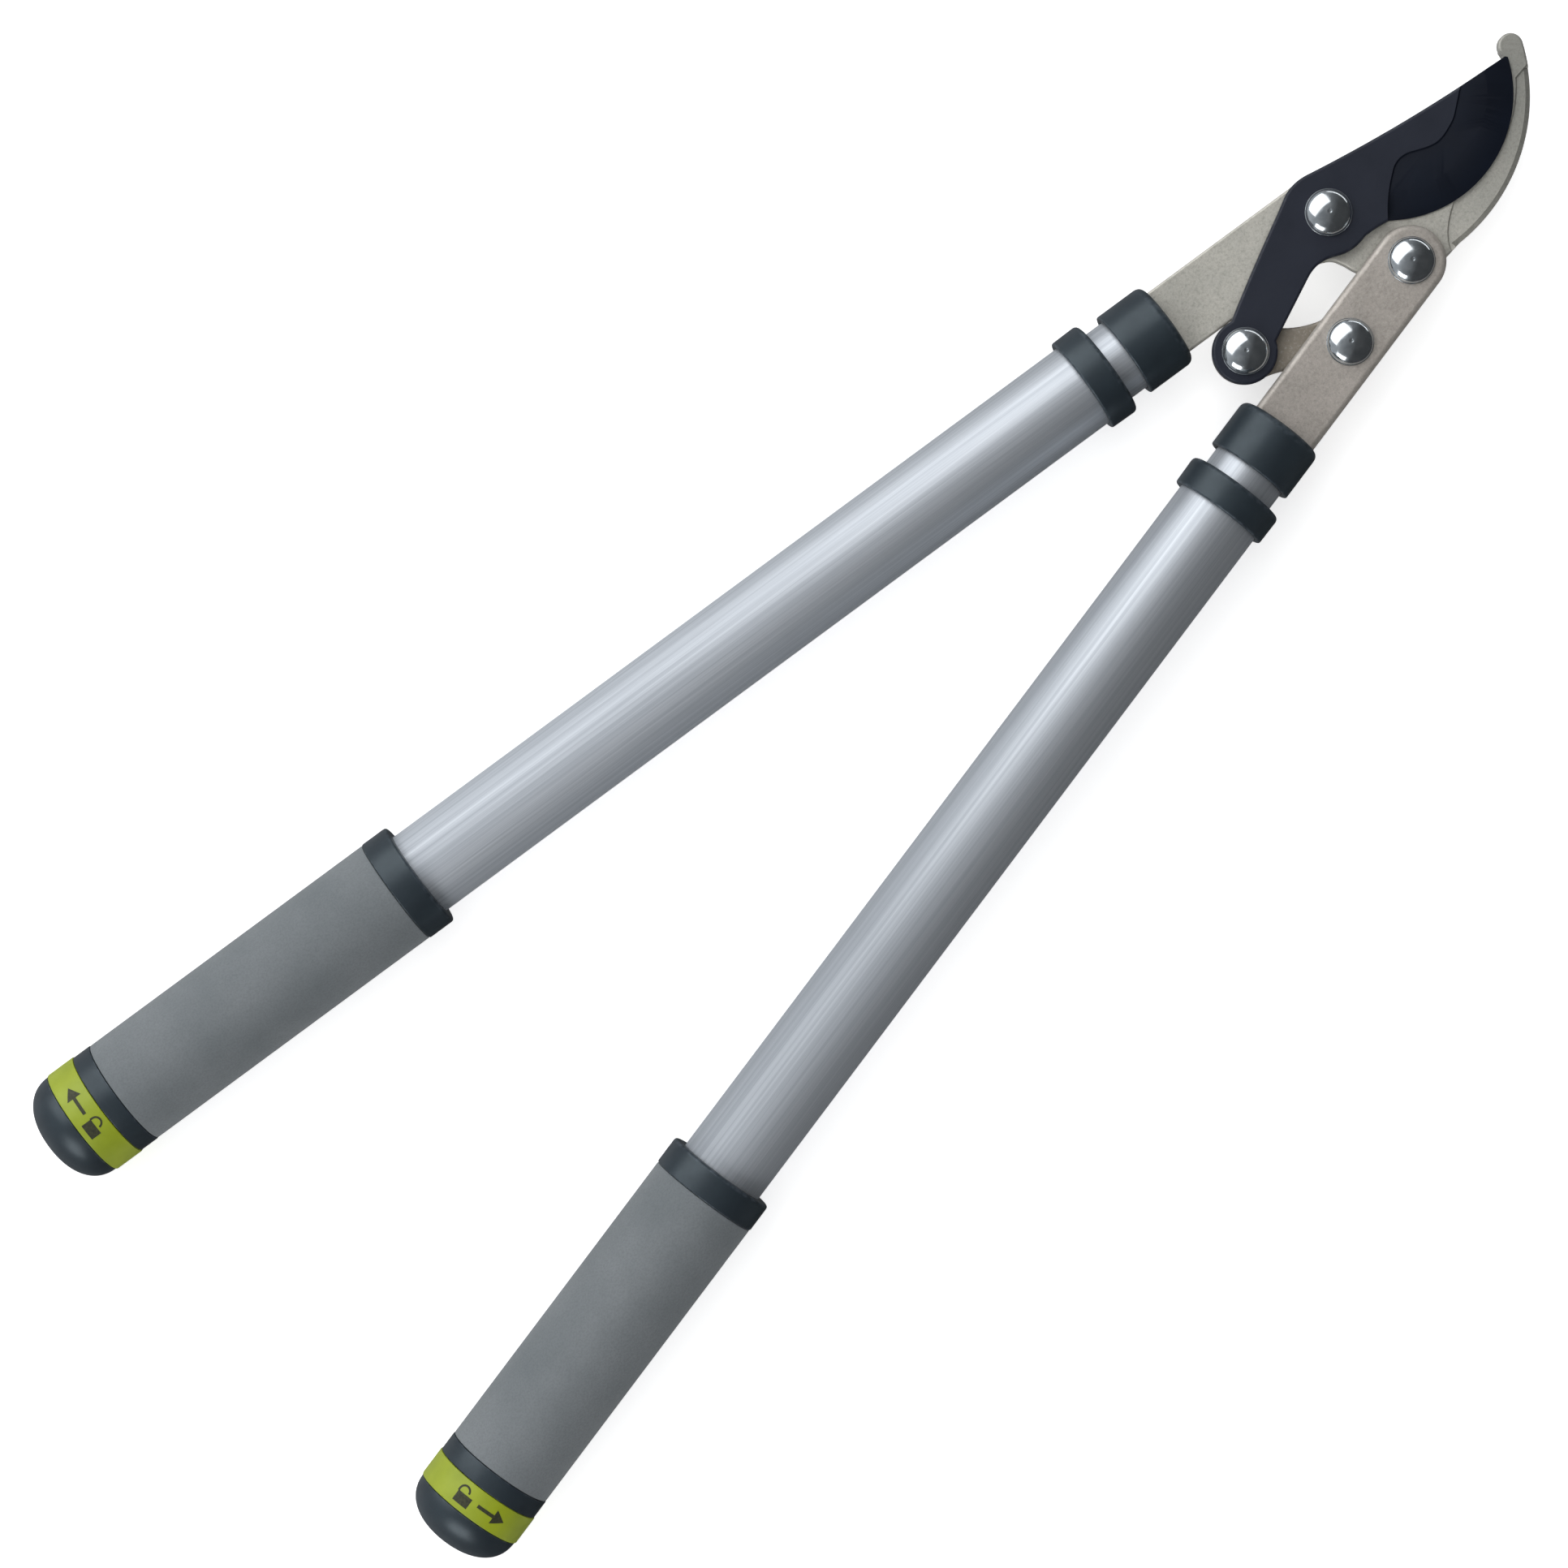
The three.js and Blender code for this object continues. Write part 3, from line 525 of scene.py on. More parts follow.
def coated_steel(name, dark, light, lines=0.0):
    """The blade's dark coating. Its ground face shows fine lines under the coat."""
    f = Finish(name, Metallic=0.1, Specular_IOR_Level=0.35)
    cloud = f.noise(18, detail=4)
    base = f.ramp(cloud, 0.3, 0.7, dark, light)
    worn = f.times(f.edges(), f.between(f.noise(1.6, detail=5), 0.5, 0.72, 0, 0.35))
    f.colour(f.mix(worn, base, srgb(92, 96, 104)))
    f.rough(f.between(cloud, 0.3, 0.7, 0.5, 0.4))
    heights = [(f.noise(0.35, detail=2), 0.012)]
    if lines:
        heights.append((f.noise(0.4, detail=3, stretch=(1, 30, 1)), lines))
    f.bump(*heights)
    return f.material


def polished_steel():
    f = Finish("polished_steel", Metallic=0.95)
    smear = f.noise(3, detail=4)
    f.colour(f.ramp(smear, 0.3, 0.75, srgb(196, 203, 208), srgb(222, 228, 232)))
    f.rough(f.between(smear, 0.3, 0.7, 0.1, 0.2))
    f.bump((f.noise(2.5, detail=2), 0.006))
    return f.material


def zinc_steel():
    f = Finish("zinc_steel", Metallic=1.0)
    cloud = f.noise(4, detail=4)
    base = f.ramp(cloud, 0.3, 0.7, srgb(150, 152, 154), srgb(190, 192, 190))
    f.colour(f.mix(f.times(f.edges(), 0.6), base, srgb(222, 223, 222)))
    f.rough(f.between(cloud, 0.3, 0.7, 0.42, 0.26))
    f.bump((f.noise(0.5, detail=2), 0.015))
    return f.material


def tube_aluminium(side):
    """Aluminium tube, drawn and polished lengthwise, and duller towards the grip.

    The right one also gets a little darker there, as in the photo: painted shade where its
    highlight fades."""
    heading = -HANDLE_ANGLE if side == "left" else HANDLE_ANGLE
    f = Finish("tube_aluminium_" + side, heading, Metallic=0.68)
    drawn = f.noise(1.2, detail=5, stretch=(400, 1, 1), roughness=0.6)
    fine = f.noise(0.25, detail=3, stretch=(160, 1, 1))
    base = f.ramp(drawn, 0.32, 0.68, srgb(188, 194, 201), srgb(210, 215, 221))
    base = f.mix(f.between(fine, 0.35, 0.65, 0, 0.24), base, srgb(152, 158, 166))
    along = f.add("SeparateXYZ", Vector=f.where).outputs["X"]
    rear, front = -300 * MM, -20 * MM
    if side == "right":
        # Painted shade: the right tube's colour darkens towards the grip, where its highlight
        # fades.
        base = f.mix(f.between(along, rear, front, 0.4, 0), base, srgb(150, 155, 161))
    f.colour(base)
    dulled = f.between(along, rear, front, 1.42, 0.66)
    f.rough(f.times(f.between(drawn, 0.3, 0.7, 0.56, 0.45), dulled))
    f.bump((drawn, 0.012), (fine, 0.006))
    return f.material


def moulded(name, dark, light, rough=(0.52, 0.4), grain=0.02, rub=None):
    """Moulded plastic with a fine spark-eroded grain."""
    f = Finish(name, Specular_IOR_Level=0.55, Specular_Tint=(0.8, 0.93, 1, 1))
    cloud = f.noise(9, detail=4)
    base = f.ramp(cloud, 0.3, 0.7, dark, light)
    if rub:
        worn = f.times(f.edges(), f.between(f.noise(2, detail=4), 0.4, 0.7, 0, 0.7))
        base = f.mix(worn, base, rub)
    f.colour(base)
    f.rough(f.between(cloud, 0.3, 0.7, *rough))
    f.bump((f.noise(0.4, detail=2), grain))
    return f.material


def grey_rubber():
    """Soft foamed rubber, matt with a powdery bloom."""
    f = Finish("grey_rubber", Specular_IOR_Level=0.3, Sheen_Weight=0.02, Sheen_Roughness=0.6)
    cloud = f.noise(26, detail=5)
    pores = f.noise(0.7, detail=3)
    base = f.ramp(cloud, 0.3, 0.7, srgb(106, 112, 115), srgb(118, 123, 126))
    f.colour(f.mix(f.between(pores, 0.3, 0.62, 0.3, 0), base, srgb(84, 88, 91)))
    f.rough(f.between(cloud, 0.3, 0.7, 0.88, 0.76))
    f.bump((pores, 0.05), (f.noise(0.25, detail=2), 0.02))
    return f.material


def printed_ink():
    f = Finish("print_ink", Specular_IOR_Level=0.3)
    cloud = f.noise(0.8, detail=4)
    f.colour(f.ramp(cloud, 0.3, 0.75, srgb(44, 46, 36), srgb(66, 68, 46)))
    f.rough(f.between(cloud, 0.3, 0.7, 0.6, 0.45))
    f.bump((cloud, 0.01))
    return f.material


STEEL = blasted_steel("blasted_steel", srgb(188, 187, 179), srgb(202, 200, 191), (28, 80))
LEVER_STEEL = blasted_steel("blasted_steel_warm", srgb(171, 165, 158), srgb(187, 180, 173))
# The link's steel is darker and browner than the other plates. That is painted shade, as the link
# lies under the blade and the lever.
SHADED_LINK_STEEL = blasted_steel("blasted_steel_painted_shade", srgb(140, 132, 120), srgb(156, 148, 136))
BLADE_COAT = coated_steel("coated_steel", srgb(30, 34, 45), srgb(38, 42, 53))
GROUND_COAT = coated_steel("coated_steel_ground", srgb(13, 18, 29), srgb(20, 26, 38), lines=0.02)
CHROME = polished_steel()
ZINC = zinc_steel()
ALUMINIUM = {side: tube_aluminium(side) for side in ("left", "right")}
BLACK = moulded(
    "black_plastic", srgb(35, 42, 48), srgb(42, 50, 56), (0.42, 0.32), rub=srgb(72, 80, 88),
)
INNER = moulded("inner_plastic", srgb(80, 84, 86), srgb(92, 96, 98))
LIME = moulded("lime_plastic", srgb(138, 152, 22), srgb(152, 165, 34), (0.5, 0.4), 0.01)
RUBBER = grey_rubber()
INK = printed_ink()


# ---------------------------------------------------------------------------------------------
# Cutting head
# ---------------------------------------------------------------------------------------------


def pivot(bolt):
    low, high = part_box(bolt)
    return ((low.x + high.x) / 2 / MM, (low.y + high.y) / 2 / MM)


def heights(node):
    low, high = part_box(node)
    return low.z / MM, high.z / MM


MAIN, LEVER, LINK_FRONT, LINK_REAR = (
    pivot(name + "_bolt") for name in ("main_pivot", "lever_pivot", "link_front", "link_rear")
)


def tang_outline(at, half, beside):
    """The plate's end behind the collar: a shoulder, then the narrower tang."""
    shoulder = -COLLAR_WALL
    back = shoulder - TANG_LENGTH
    return [
        at(shoulder, beside - half), at(shoulder, -TANG_HALF), at(back, -TANG_HALF),
        at(back, TANG_HALF), at(shoulder, TANG_HALF), at(shoulder, beside + half),
    ]


def pin_holes(at):
    return [circle(at(-d, 0), PIN_HOLE, 24) for d in PINS_AT]


def hook_outline():
    at = beside_axis("left")
    tip = on_circle(HOOK_OUTER_CENTRE, HOOK_OUTER_RADIUS - HOOK_TIP_RADIUS, HOOK_TIP_ANGLE)
    points = tang_outline(at, ARM_HALF, 0)
    points += arc(MAIN, BODY_RADIUS, 90 - HANDLE_ANGLE, -20)
    points += arc(HOOK_INNER_CENTRE, HOOK_INNER_RADIUS, -136, -30, 2)
    points += arc(tip, HOOK_TIP_RADIUS, 189, HOOK_TIP_ANGLE, 8)
    points += arc(HOOK_OUTER_CENTRE, HOOK_OUTER_RADIUS, HOOK_TIP_ANGLE, -96, 2)
    points += arc(LEVER, LOBE_RADIUS, -42, -190)
    points += spline([
        on_circle(LEVER, LOBE_RADIUS, -190), (-7, -22), (-8.7, -16.4), (-11.6, -12.1),
        at(48.7, -ARM_HALF),
    ])
    return points


def hook_relief(top):
    """The cutter for the relief outside the land along the hook's inner edge."""
    land = HOOK_INNER_RADIUS + HOOK_LAND
    points = arc(HOOK_INNER_CENTRE, land, -102, -41, 2) + [(89, -12.1)]
    points += arc(HOOK_OUTER_CENTRE, HOOK_OUTER_RADIUS + 8, -32, -99, 4)
    points += bend((22, -41), (24.8, -33), (37.9, -27.5))
    return slab(points, top - HOOK_RELIEF, top + 1, slope=STEP_SLOPE)


def cut_wedge(name, profile, centre, region, low, high, material):
    """A bmesh of a body turned about a centre, kept where it lies inside a region."""
    wedge = piece(name, turned(profile, 180), material, place=upright(centre))
    carve(wedge, slab(region, low, high), material, "INTERSECT")
    made = bmesh.new()
    made.from_mesh(wedge.data)
    bpy.data.objects.remove(wedge)
    return made


def outer_chamfer(top):
    """The cutter that slopes the relief's outer edge, from the shoulder to the tip pad."""
    width, depth = HOOK_CHAMFER
    out = HOOK_OUTER_RADIUS
    face = top - HOOK_RELIEF
    past = out + 4
    profile = [
        (face + 0.2, out - width), (face - depth, out + 0.4), (face - depth, past),
        (top + 1, past), (top + 1, out - width),
    ]
    region = [HOOK_OUTER_CENTRE, (107, -27), (107, -60), (27, -60), (24, -34)]
    return cut_wedge("chamfer", profile, HOOK_OUTER_CENTRE, region, 0, top + 2, STEEL)


def hook_plate():
    low, high = heights("hook_plate")
    holes = [circle(MAIN, BOLT_RADIUS + RUNNING), circle(LEVER, BOLT_RADIUS + RUNNING)]
    holes += pin_holes(beside_axis("left"))
    body = slab(hook_outline(), low, high, HOOK_ROUND, holes)
    plate = piece("hook", body, STEEL)
    carve(plate, hook_relief(high), STEEL)
    carve(plate, outer_chamfer(high), STEEL)
    return declare(even_shading(plate), "hook_side", "blasted_steel", "hook_plate")


def lever_plate():
    low, high = heights("lever_plate")
    at = beside_axis("right")
    points = tang_outline(at, LEVER_HALF, LEVER_OFFSET)[::-1]
    points += arc(LEVER, LEVER_HALF, HANDLE_ANGLE - 90, HANDLE_ANGLE + 90)
    holes = [circle(LEVER, BOLT_RADIUS + RUNNING), circle(LINK_FRONT, BOLT_RADIUS + RUNNING)]
    body = slab(points, low, high, LEVER_ROUND, holes + pin_holes(at), 7)
    plate = piece("lever", body, LEVER_STEEL)
    return declare(even_shading(plate), "lever_side", "blasted_steel", "lever_plate")


def link_plate():
    low, high = heights("link_plate")
    front, rear = Vector(LINK_FRONT), Vector(LINK_REAR)
    along = (rear - front).normalized()
    heading = math.degrees(math.atan2(along.y, along.x))
    side = Vector((-along.y, along.x))
    middle = (front + rear) / 2
    flank, other_flank = heading + LINK_FLANK, heading - LINK_FLANK
    ends = (LINK_FRONT_RADIUS + LINK_REAR_RADIUS) / 2
    pull = side * (2 * LINK_WAIST - ends * math.sin(math.radians(LINK_FLANK)))
    rear_flank = on_circle(LINK_REAR, LINK_REAR_RADIUS, flank + 180)
    points = arc(LINK_FRONT, LINK_FRONT_RADIUS, flank, other_flank + 360)
    points += bend(points[-1], middle - pull, rear_flank)
    points += arc(LINK_REAR, LINK_REAR_RADIUS, flank - 180, other_flank + 180)
    points += bend(points[-1], middle + pull, points[0])
    holes = [circle(LINK_FRONT, BOLT_RADIUS + RUNNING), circle(LINK_REAR, LINK_HOLE)]
    # The link takes the darker steel with its painted shade.
    plate = piece("link", slab(points, low, high, LINK_ROUND, holes), SHADED_LINK_STEEL)
    return declare(even_shading(plate), "link", "blasted_steel", "link_plate")


def blade_outline():
    points = bend((-6.4, 15.1), (-1.6, 16.6), (3.5, 15.1), 6)
    points += bend((3.5, 15.1), (43.5, 2.2), (84.6, -4.7), 24)
    points += arc(CUT_CENTRE, CUT_RADIUS, -27.6, -129.5, 2)
    points += bend((13.8, -17.4), (9.5, -16), (4, -15.3), 6)
    points += arc(MAIN, BODY_RADIUS + 0.2, -80, -122)
    points += bend(points[-1], (-14.5, -9.2), (-21.4, -11.5))
    points += arc(LINK_REAR, TAIL_RADIUS, -26, -276)
    points += bend((-51.6, -3.2), (-33, 4.9), (-12.7, 12.5))
    return points


def ground_region():
    """What lies past the line where the blade's flat ends and its ground face begins."""
    points = [(12.8, -18.6)]
    points += bend((13.2, -16.8), (18.5, -10.5), (26.1, -5.9))
    points += bend((26.1, -5.9), (30.6, -2.7), (35.5, -4.9))
    points += spline([(35.5, -4.9), (44.8, -9.2), (53.6, -7.9), (59.2, -4.8), (67, 0.5)])
    return points + [(100, 0), (100, -45), (12.8, -45)]


def blade():
    low, high = heights("blade")
    holes = [circle(MAIN, BOLT_RADIUS + RUNNING), circle(LINK_REAR, BOLT_RADIUS + RUNNING)]
    plate = piece("blade_coated", slab(blade_outline(), low, high, BLADE_ROUND, holes), BLADE_COAT)
    ground = high - GRIND_STEP
    profile = [
        (ground, CUT_RADIUS - GRIND_WIDTH),
        (low + EDGE_THICK, CUT_RADIUS),
        (low + EDGE_THICK, CUT_RADIUS + 3),
        (high + 1, CUT_RADIUS + 3),
        (high + 1, CUT_RADIUS - GRIND_WIDTH),
    ]
    region = ground_region()
    bevel = cut_wedge("bevel", profile, CUT_CENTRE, region, low - 1, high + 2, GROUND_COAT)
    carve(plate, slab(region, ground, high + 1, slope=STEP_SLOPE), GROUND_COAT)
    carve(plate, bevel, GROUND_COAT)
    return declare(even_shading(plate), "blade", "coated_steel", "blade")


def upright(centre):
    """The place of a body turned about X that stands along Z."""
    place = Matrix(((0, 1, 0), (0, 0, 1), (1, 0, 0))).to_4x4()
    place.translation = (centre[0] * MM, centre[1] * MM, 0)
    return place


def domed_bolt(name, body):
    """A polished dome on a thin rim, with a small centre mark. The shank's end is threaded."""
    node = name + "_bolt"
    low, top = heights(node)
    head = heights("blade")[1] + STACK_GAP
    centre = pivot(node)
    foot = HEAD_RADIUS - 0.25
    profile = [(low, 0), (low, BOLT_RADIUS - 0.7), (low + 0.5, BOLT_RADIUS)]
    root = BOLT_RADIUS - THREAD_DEPTH
    for turn in range(THREAD_TURNS):
        at = low + 0.5 + turn * THREAD_PITCH
        profile += [(at + 0.2, BOLT_RADIUS), (at + 0.6, root), (at + 1, BOLT_RADIUS)]
    profile += [(head, BOLT_RADIUS), (head, HEAD_RADIUS - 0.2), (head + 0.2, HEAD_RADIUS)]
    profile += [(head + HEAD_RIM - 0.15, HEAD_RADIUS), (head + HEAD_RIM, HEAD_RADIUS - 0.15)]
    rise = top - head - HEAD_RIM
    steps = 22
    for i in range(steps):
        a = math.radians(86) * i / steps
        profile.append((head + HEAD_RIM + rise * math.sin(a), foot * math.cos(a)))
    profile += [(top - 0.02, 0.75), (top - 0.06, 0.6), (top - 0.22, 0.5), (top - 0.25, 0)]
    bolt = piece(name + "_dome", turned(profile), CHROME, place=upright(centre))
    return declare(bolt, body, "polished_steel", node)


def flat_washer(name, body):
    node = name + "_washer"
    low, high = heights(node)
    profile = softened([
        (low, BOLT_RADIUS + GAP, 0.2), (low, WASHER_RADIUS, 0.25),
        (high, WASHER_RADIUS, 0.25), (high, BOLT_RADIUS + GAP, 0.2),
    ], 3)
    made = piece(name + "_flat_washer", turned(profile), ZINC, place=upright(pivot(node)))
    return declare(made, body, "zinc_steel", node)


def lock_nut(name, body):
    """A hexagon with its corners turned off and a round collar at its free end."""
    node = name + "_nut"
    low, high = heights(node)
    centre = pivot(node)
    corner = NUT_FLATS / math.sqrt(3)
    hexagon = [on_circle(centre, corner, 60 * i) for i in range(6)]
    nut = piece(name + "_lock_nut", slab(hexagon, low, high), ZINC)
    flat, bore, shoulder = NUT_FLATS / 2, BOLT_RADIUS + 0.25, low + NUT_COLLAR
    shape = [
        (low, bore), (low, flat - 1.2), (low + 0.3, flat - 0.7),
        (shoulder, flat - 0.4), (shoulder, flat), (shoulder + 0.5, corner),
        (high - 0.5, corner), (high, flat), (high, bore),
    ]
    carve(nut, turned(shape), ZINC, "INTERSECT", place=upright(centre))
    return declare(even_shading(nut), body, "zinc_steel", node)


# ---------------------------------------------------------------------------------------------
# Handles, along local X from the collar's front face. Local Z is up.
# ---------------------------------------------------------------------------------------------


def handle_place(side):
    back = Vector(JOINTS[side + "_slide"]["axis"]).normalized()
    up = Vector((0, 0, 1))
    place = Matrix((back, up.cross(back), up)).transposed().to_4x4()
    place.translation = Vector(JOINTS[side + "_twist"]["pos_m"]) - back * LOCK_AT * MM
    return place


def collar(side, body, plate, half, beside):
    """Closes the tube's front end round the plate, which passes through its slot."""
    bore = INNER_RADIUS + GAP
    profile = softened([
        (0, 0), (0, COLLAR_RADIUS, COLLAR_ROUND), (COLLAR_LENGTH, COLLAR_RADIUS, 0.7),
        (COLLAR_LENGTH, bore, 0.3), (COLLAR_WALL, bore), (COLLAR_WALL, 0),
    ], 7)
    made = piece(side + "_collar_cap", turned(profile), BLACK, place=handle_place(side))
    low, high = heights(plate)
    thick = (high - low) / 2 + GAP
    low_side, high_side = beside - half - GAP, beside + half + GAP
    before, past = -1, COLLAR_SLOT_END
    box = [(before, low_side), (past, low_side), (past, high_side), (before, high_side)]
    carve(made, slab(box, -thick, thick), BLACK, place=handle_place(side))
    return declare(even_shading(made), body, "black_plastic", side + "_collar")


def tube(side, name, node, body, start, end, radius):
    wall = radius - TUBE_WALL
    profile = softened([
        (start, wall, 0.3), (start, radius, 0.4), (end, radius, 0.4), (end, wall, 0.3),
    ], 3)
    made = piece(side + name, turned(profile, 128), ALUMINIUM[side], place=handle_place(side))
    return declare(made, body, "tube_aluminium", side + node)


def guide_ring(side):
    end, lip = GUIDE_AT + GUIDE_LENGTH, GUIDE_AT + GUIDE_LIP
    profile = softened([
        (GUIDE_AT, INNER_RADIUS + GAP, 0.3),
        (GUIDE_AT, GUIDE_RADIUS, 2.0),
        (end, GUIDE_RADIUS - 0.2, 0.9),
        (end, OUTER_RADIUS + 0.1, 0.2),
        (lip, OUTER_RADIUS + 0.1),
        (lip, INNER_RADIUS + GAP),
    ], 6)
    made = piece(side + "_slide_ring", turned(profile), BLACK, place=handle_place(side))
    return declare(made, side + "_grip", "black_plastic", side + "_guide_ring")


def grip_core(side):
    bore = OUTER_RADIUS + 0.1
    profile = softened([
        (GRIP_AT, bore, 0.2),
        (GRIP_AT, FRONT_RING_RADIUS, 1.3),
        (SLEEVE_AT, FRONT_RING_RADIUS, 0.4),
        (SLEEVE_AT, CORE_RADIUS),
        (SLEEVE_END, CORE_RADIUS),
        (SLEEVE_END, REAR_RING_RADIUS, 0.4),
        (BAND_AT, REAR_RING_RADIUS, 0.4),
        (BAND_AT, SPIGOT_RADIUS),
        (DOME_AT - GAP, SPIGOT_RADIUS),
        (DOME_AT - GAP, bore),
    ], 5)
    made = piece(side + "_grip_rings", turned(profile), BLACK, place=handle_place(side))
    return declare(made, side + "_grip", "black_plastic", side + "_grip_core")


def grip_sleeve(side):
    start, end = SLEEVE_AT + SLEEVE_GAP, SLEEVE_END - SLEEVE_GAP
    profile = softened([
        (start, CORE_RADIUS + GAP), (start, SLEEVE_RADIUS, 0.6),
        (end, SLEEVE_RADIUS, 0.6), (end, CORE_RADIUS + GAP),
    ], 5)
    made = piece(side + "_soft_sleeve", turned(profile, 128), RUBBER, place=handle_place(side))
    return declare(made, side + "_grip", "grey_rubber", side + "_grip_sleeve")


def twist_band(side):
    start, end = BAND_AT + SLEEVE_GAP, DOME_AT - SLEEVE_GAP
    bore = SPIGOT_RADIUS + GAP
    profile = softened([
        (start, bore), (start, BAND_RADIUS, 0.35), (end, BAND_RADIUS, 0.35), (end, bore),
    ], 4)
    made = piece(side + "_lime_band", turned(profile, 128), LIME, place=handle_place(side))
    return declare(made, side + "_grip", "lime_plastic", side + "_twist_band")


def end_cap(side):
    plug = OUTER_RADIUS - TUBE_WALL - GAP
    plug_from = start_along(side, side + "_end_cap")
    bore, floor_at = plug - CAP_PLUG_WALL, DOME_AT + CAP_SOLID
    profile = [
        (floor_at, 0), (floor_at, bore), (plug_from, bore), (plug_from, plug),
        (DOME_AT, plug), (DOME_AT, DOME_RADIUS - 0.3), (DOME_AT + 0.3, DOME_RADIUS),
    ]
    steps = 26
    for i in range(1, steps):
        along = math.sin(i / steps * math.pi / 2)
        if along * DOME_LENGTH > 0.6:
            radius = DOME_RADIUS * (1 - along**DOME_POWER) ** (1 / DOME_POWER)
            profile.append((DOME_AT + DOME_LENGTH * along, radius))
    profile.append((DOME_AT + DOME_LENGTH, 0))
    made = piece(side + "_dome_cap", turned(profile), BLACK, place=handle_place(side))
    return declare(made, side + "_grip", "black_plastic", side + "_end_cap")


def start_along(side, node):
    """Where a CAD node starts, back along its handle's axis."""
    inverse = handle_place(side).inverted()
    return min((inverse @ v.co).x for v in frame["nodes"][node].data.vertices) / MM


# ---------------------------------------------------------------------------------------------
# Print on the lime band: an arrow and an open padlock
# ---------------------------------------------------------------------------------------------


def ribbon(bm, pairs):
    """A thin raised strip on the band, from pairs of (around, along) points in millimetres."""
    rows = []
    for pair in pairs:
        row = []
        for lift in (INK_SUNK, INK_PROUD):
            for around, along in pair:
                a, r = around / BAND_RADIUS, (BAND_RADIUS + lift) * MM
                row.append(bm.verts.new((along * MM, r * math.sin(a), r * math.cos(a))))
        rows.append((row[0], row[1], row[3], row[2]))
    for a, b in zip(rows, rows[1:]):
        for i in range(4):
            j = (i + 1) % 4
            bm.faces.new((a[i], a[j], b[j], b[i]))
    bm.faces.new(rows[0][::-1])
    bm.faces.new(rows[-1])


def bar(start, end, low, high):
    """Pairs for a straight bar round the band."""
    steps = 8
    return [
        ((start + (end - start) * i / steps, low), (start + (end - start) * i / steps, high))
        for i in range(steps + 1)
    ]


def band_print(side, outwards):
    """The arrow points away from the other handle, which is the way the lock opens."""
    middle = (BAND_AT + DOME_AT) / 2
    bm = bmesh.new()
    shaft = [outwards * end for end in ARROW_SHAFT]
    ribbon(bm, bar(*shaft, middle - SHAFT_HALF, middle + SHAFT_HALF))
    head = []
    for i in range(7):
        t = i / 6
        around = outwards * (ARROW_HEAD[0] + ARROW_HEAD[1] * t)
        half = ARROW_HALF * (1 - t) + 0.04
        head.append(((around, middle - half), (around, middle + half)))
    ribbon(bm, head)
    lock = -outwards * LOCK_BESIDE
    ribbon(bm, bar(lock - LOCK_HALF, lock + LOCK_HALF, middle - 0.5, middle + 3.5))
    centre = lock - 1.1
    outer, inner = SHACKLE_RADIUS + SHACKLE_THICK / 2, SHACKLE_RADIUS - SHACKLE_THICK / 2
    shackle = [((centre - outer, middle - 0.3), (centre - inner, middle - 0.3))]
    for i in range(13):
        a = math.radians(180 - 15 * i)
        shackle.append(tuple(
            (centre + r * math.cos(a), middle - 1.3 - r * math.sin(a)) for r in (outer, inner)
        ))
    ribbon(bm, shackle)
    made = piece(side + "_print", bm, INK, place=handle_place(side))
    return declare(made, side + "_grip", "lime_plastic")


# ---------------------------------------------------------------------------------------------
# Assembly
# ---------------------------------------------------------------------------------------------


def cutting_head():
    hook_plate()
    lever_plate()
    link_plate()
    blade()
    bodies = {
        "main_pivot": "hook_side", "lever_pivot": "hook_side",
        "link_front": "lever_side", "link_rear": "blade",
    }
    for name, body in bodies.items():
        domed_bolt(name, body)
        flat_washer(name, body)
        lock_nut(name, body)


def handle(side, plate_body, plate, half, beside, outwards):
    collar(side, plate_body, plate, half, beside)
    start = COLLAR_WALL + GAP
    end = start + INNER_LENGTH
    tube(side, "_polished_tube", "_inner_tube", plate_body, start, end, INNER_RADIUS)
    start, end = GUIDE_AT + GUIDE_LIP + GAP, DOME_AT - GAP
    tube(side, "_long_tube", "_outer_tube", side + "_grip", start, end, OUTER_RADIUS)
    guide_ring(side)
    grip_core(side)
    grip_sleeve(side)
    twist_band(side)
    end_cap(side)
    band_print(side, outwards)
    kept = {
        "tang_insert": INNER, "tang_pin_front": ZINC, "tang_pin_rear": ZINC, "lock_plug": INNER,
        "lock_collet": INNER, "lock_cone": INNER, "lock_stop_nut": ZINC,
    }
    for node, material in kept.items():
        obj = frame["nodes"][side + "_" + node]
        for slot in obj.material_slots:
            slot.material = material


# ---------------------------------------------------------------------------------------------
# Stage
# ---------------------------------------------------------------------------------------------


def floor():
    """A plain pale floor under the object's lowest point."""
    finish = Finish("floor", Roughness=0.9, Specular_IOR_Level=0.1)
    cloud = finish.noise(300, detail=2)
    finish.colour(finish.ramp(cloud, 0.2, 0.8, (0.86, 0.86, 0.865, 1), (0.89, 0.89, 0.89, 1)))
    finish.shader.inputs["Emission Color"].default_value = (1, 1, 1, 1)
    finish.shader.inputs["Emission Strength"].default_value = 0.55
    low = CAD_BOX[0].z - FLOOR_BELOW
    bm = bmesh.new()
    corners = [(x * FLOOR_HALF, y * FLOOR_HALF) for x, y in ((-1, -1), (1, -1), (1, 1), (-1, 1))]
    bm.faces.new([bm.verts.new((x, y, low)) for x, y in corners])
    made = piece("floor", bm, finish.material)
    made.visible_glossy = False


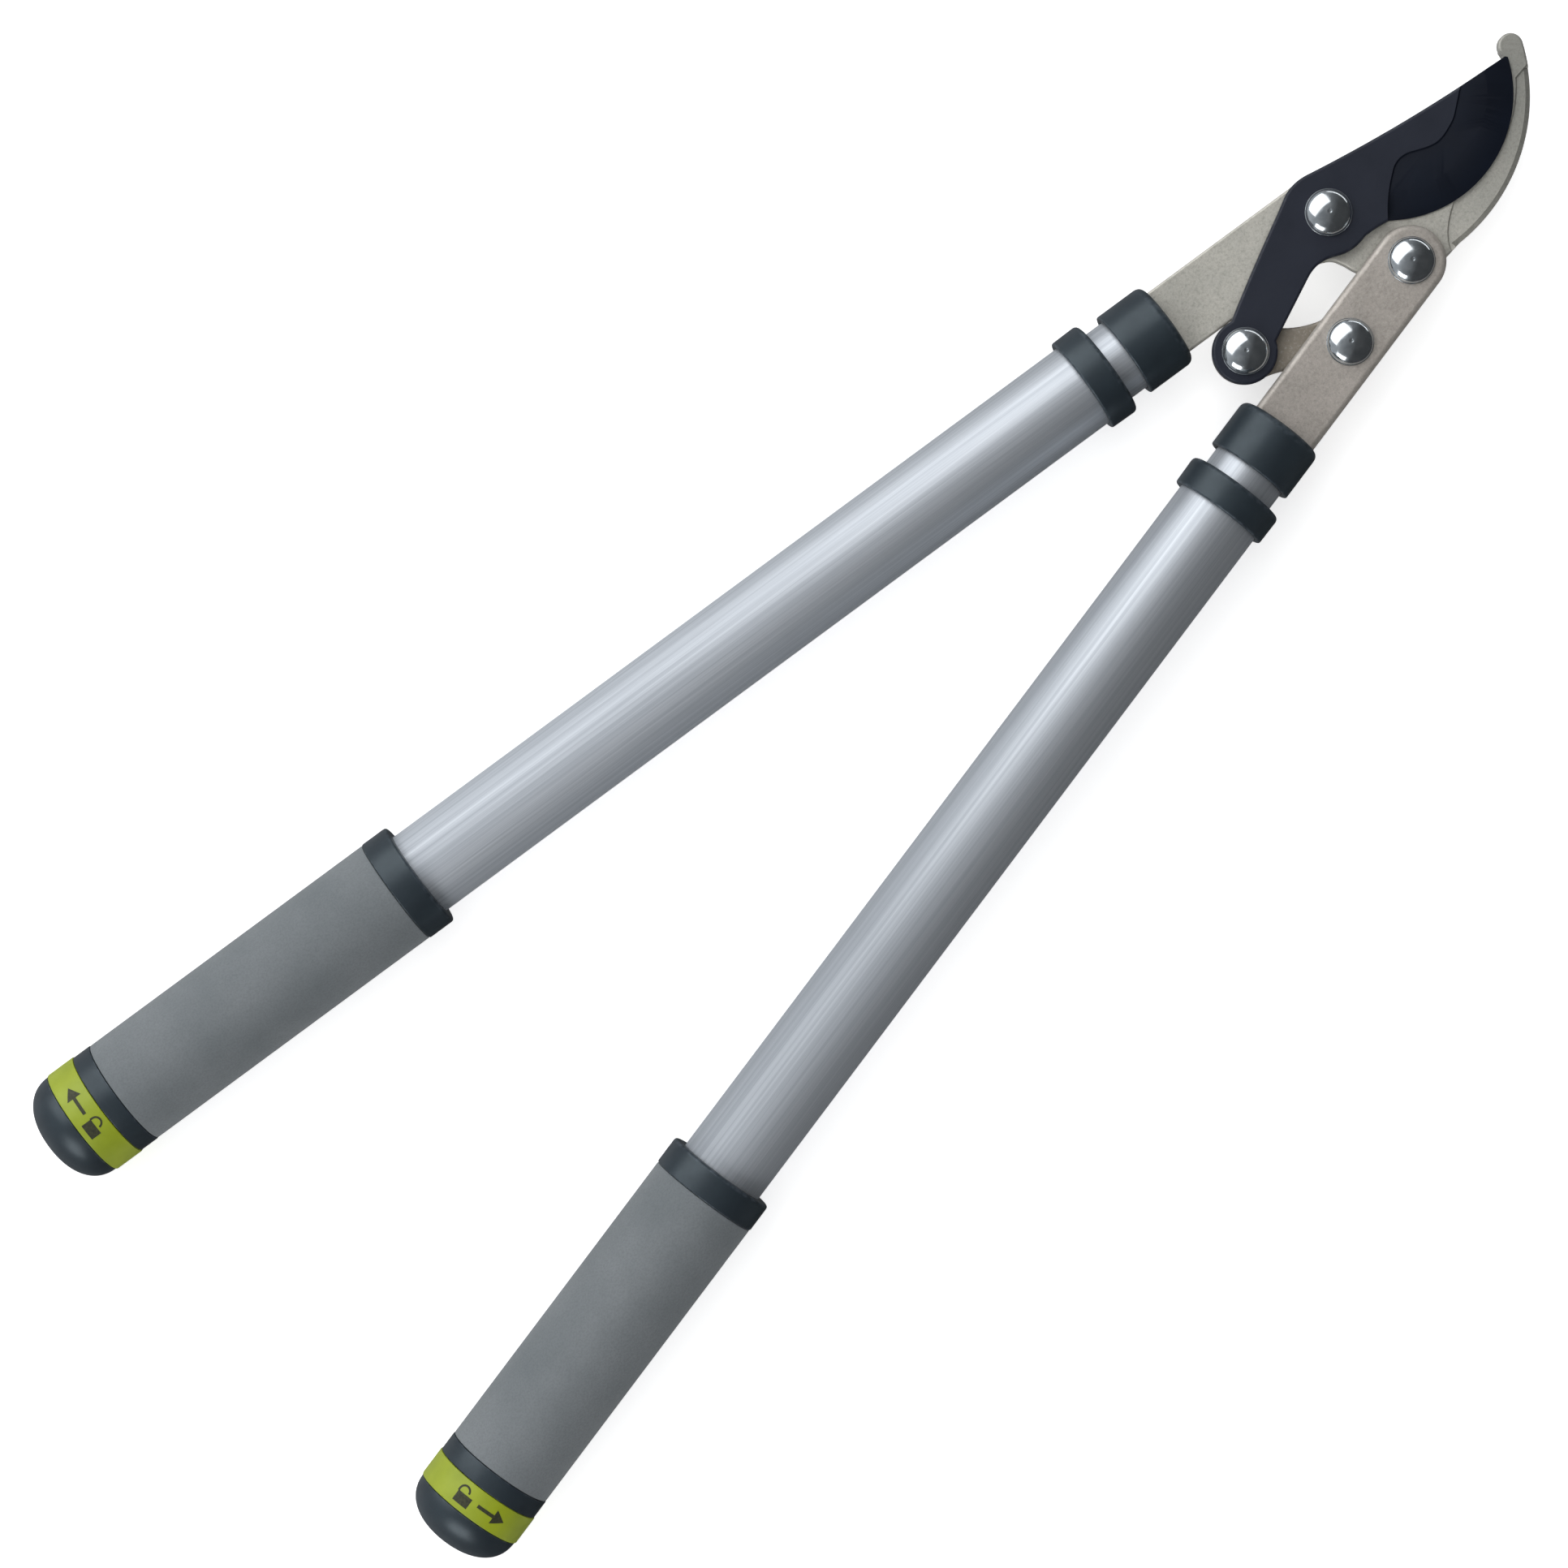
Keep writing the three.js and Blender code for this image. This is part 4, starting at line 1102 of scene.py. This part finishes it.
def softbox(name, azimuth, elevation, distance, size, watts):
    """A square area light that faces the object. Azimuth is anticlockwise from +X."""
    a, e = math.radians(azimuth), math.radians(elevation)
    towards = Vector((math.cos(a) * math.cos(e), math.sin(a) * math.cos(e), math.sin(e)))
    data = bpy.data.lights.new(name, "AREA")
    data.shape, data.size, data.size_y = "RECTANGLE", size[0], size[1]
    data.energy = watts
    obj = bpy.data.objects.new(name, data)
    bpy.context.scene.collection.objects.link(obj)
    obj.location = LIT_POINT + towards * distance
    obj.rotation_mode = "QUATERNION"
    obj.rotation_quaternion = towards.to_track_quat("Z", "Y")
    obj.visible_camera = False
    return obj


def studio():
    """A large key panel from the hook's side, a smaller one from behind the grips, a low strip
    beyond the jaws, and soft light from above. The surroundings are palest behind the grips."""
    softbox("key", 86, 40, 1.7, (2.3, 1.9), 26)
    softbox("side", 198, 28, 1.9, (1.1, 1.0), 12)
    softbox("strip", 14, 5, 1.8, (1.8, 0.2), 2.2)
    overhead = softbox("overhead", 0, 89, 2.6, (2.4, 2.4), 24)
    overhead.visible_glossy = False
    world = bpy.data.worlds.new("studio")
    bpy.context.scene.world = world
    world.use_nodes = True
    tree = world.node_tree
    where = tree.nodes.new("ShaderNodeTexCoord")
    lean = tree.nodes.new("ShaderNodeVectorMath")
    lean.operation = "DOT_PRODUCT"
    lean.inputs[1].default_value = (-0.12, 0.2, 0)
    tree.links.new(where.outputs["Generated"], lean.inputs[0])
    ramp = tree.nodes.new("ShaderNodeMapRange")
    tree.links.new(lean.outputs["Value"], ramp.inputs["Value"])
    for key, value in (("From Min", -0.08), ("From Max", 0.26), ("To Min", 0.03), ("To Max", 0.52)):
        ramp.inputs[key].default_value = value
    background = tree.nodes["Background"]
    background.inputs["Color"].default_value = (0.93, 0.96, 1, 1)
    tree.links.new(ramp.outputs[0], background.inputs["Strength"])


def camera():
    """Straight above the object, turned so that the tool lies as in the photograph."""
    data = bpy.data.cameras.new("camera")
    data.sensor_width, data.lens = 36, 108.1
    obj = bpy.data.objects.new("camera", data)
    bpy.context.scene.collection.objects.link(obj)
    obj.location = (-0.2810, -0.0082, 1.6969)
    obj.rotation_euler = (0, 0, math.radians(-44.72))
    bpy.context.scene.camera = obj


cutting_head()
handle("left", "hook_side", "hook_plate", ARM_HALF, 0, -1)
handle("right", "lever_side", "lever_plate", LEVER_HALF, -LEVER_OFFSET, 1)
floor()
studio()
camera()
bpy.context.scene.view_settings.view_transform = "Standard"
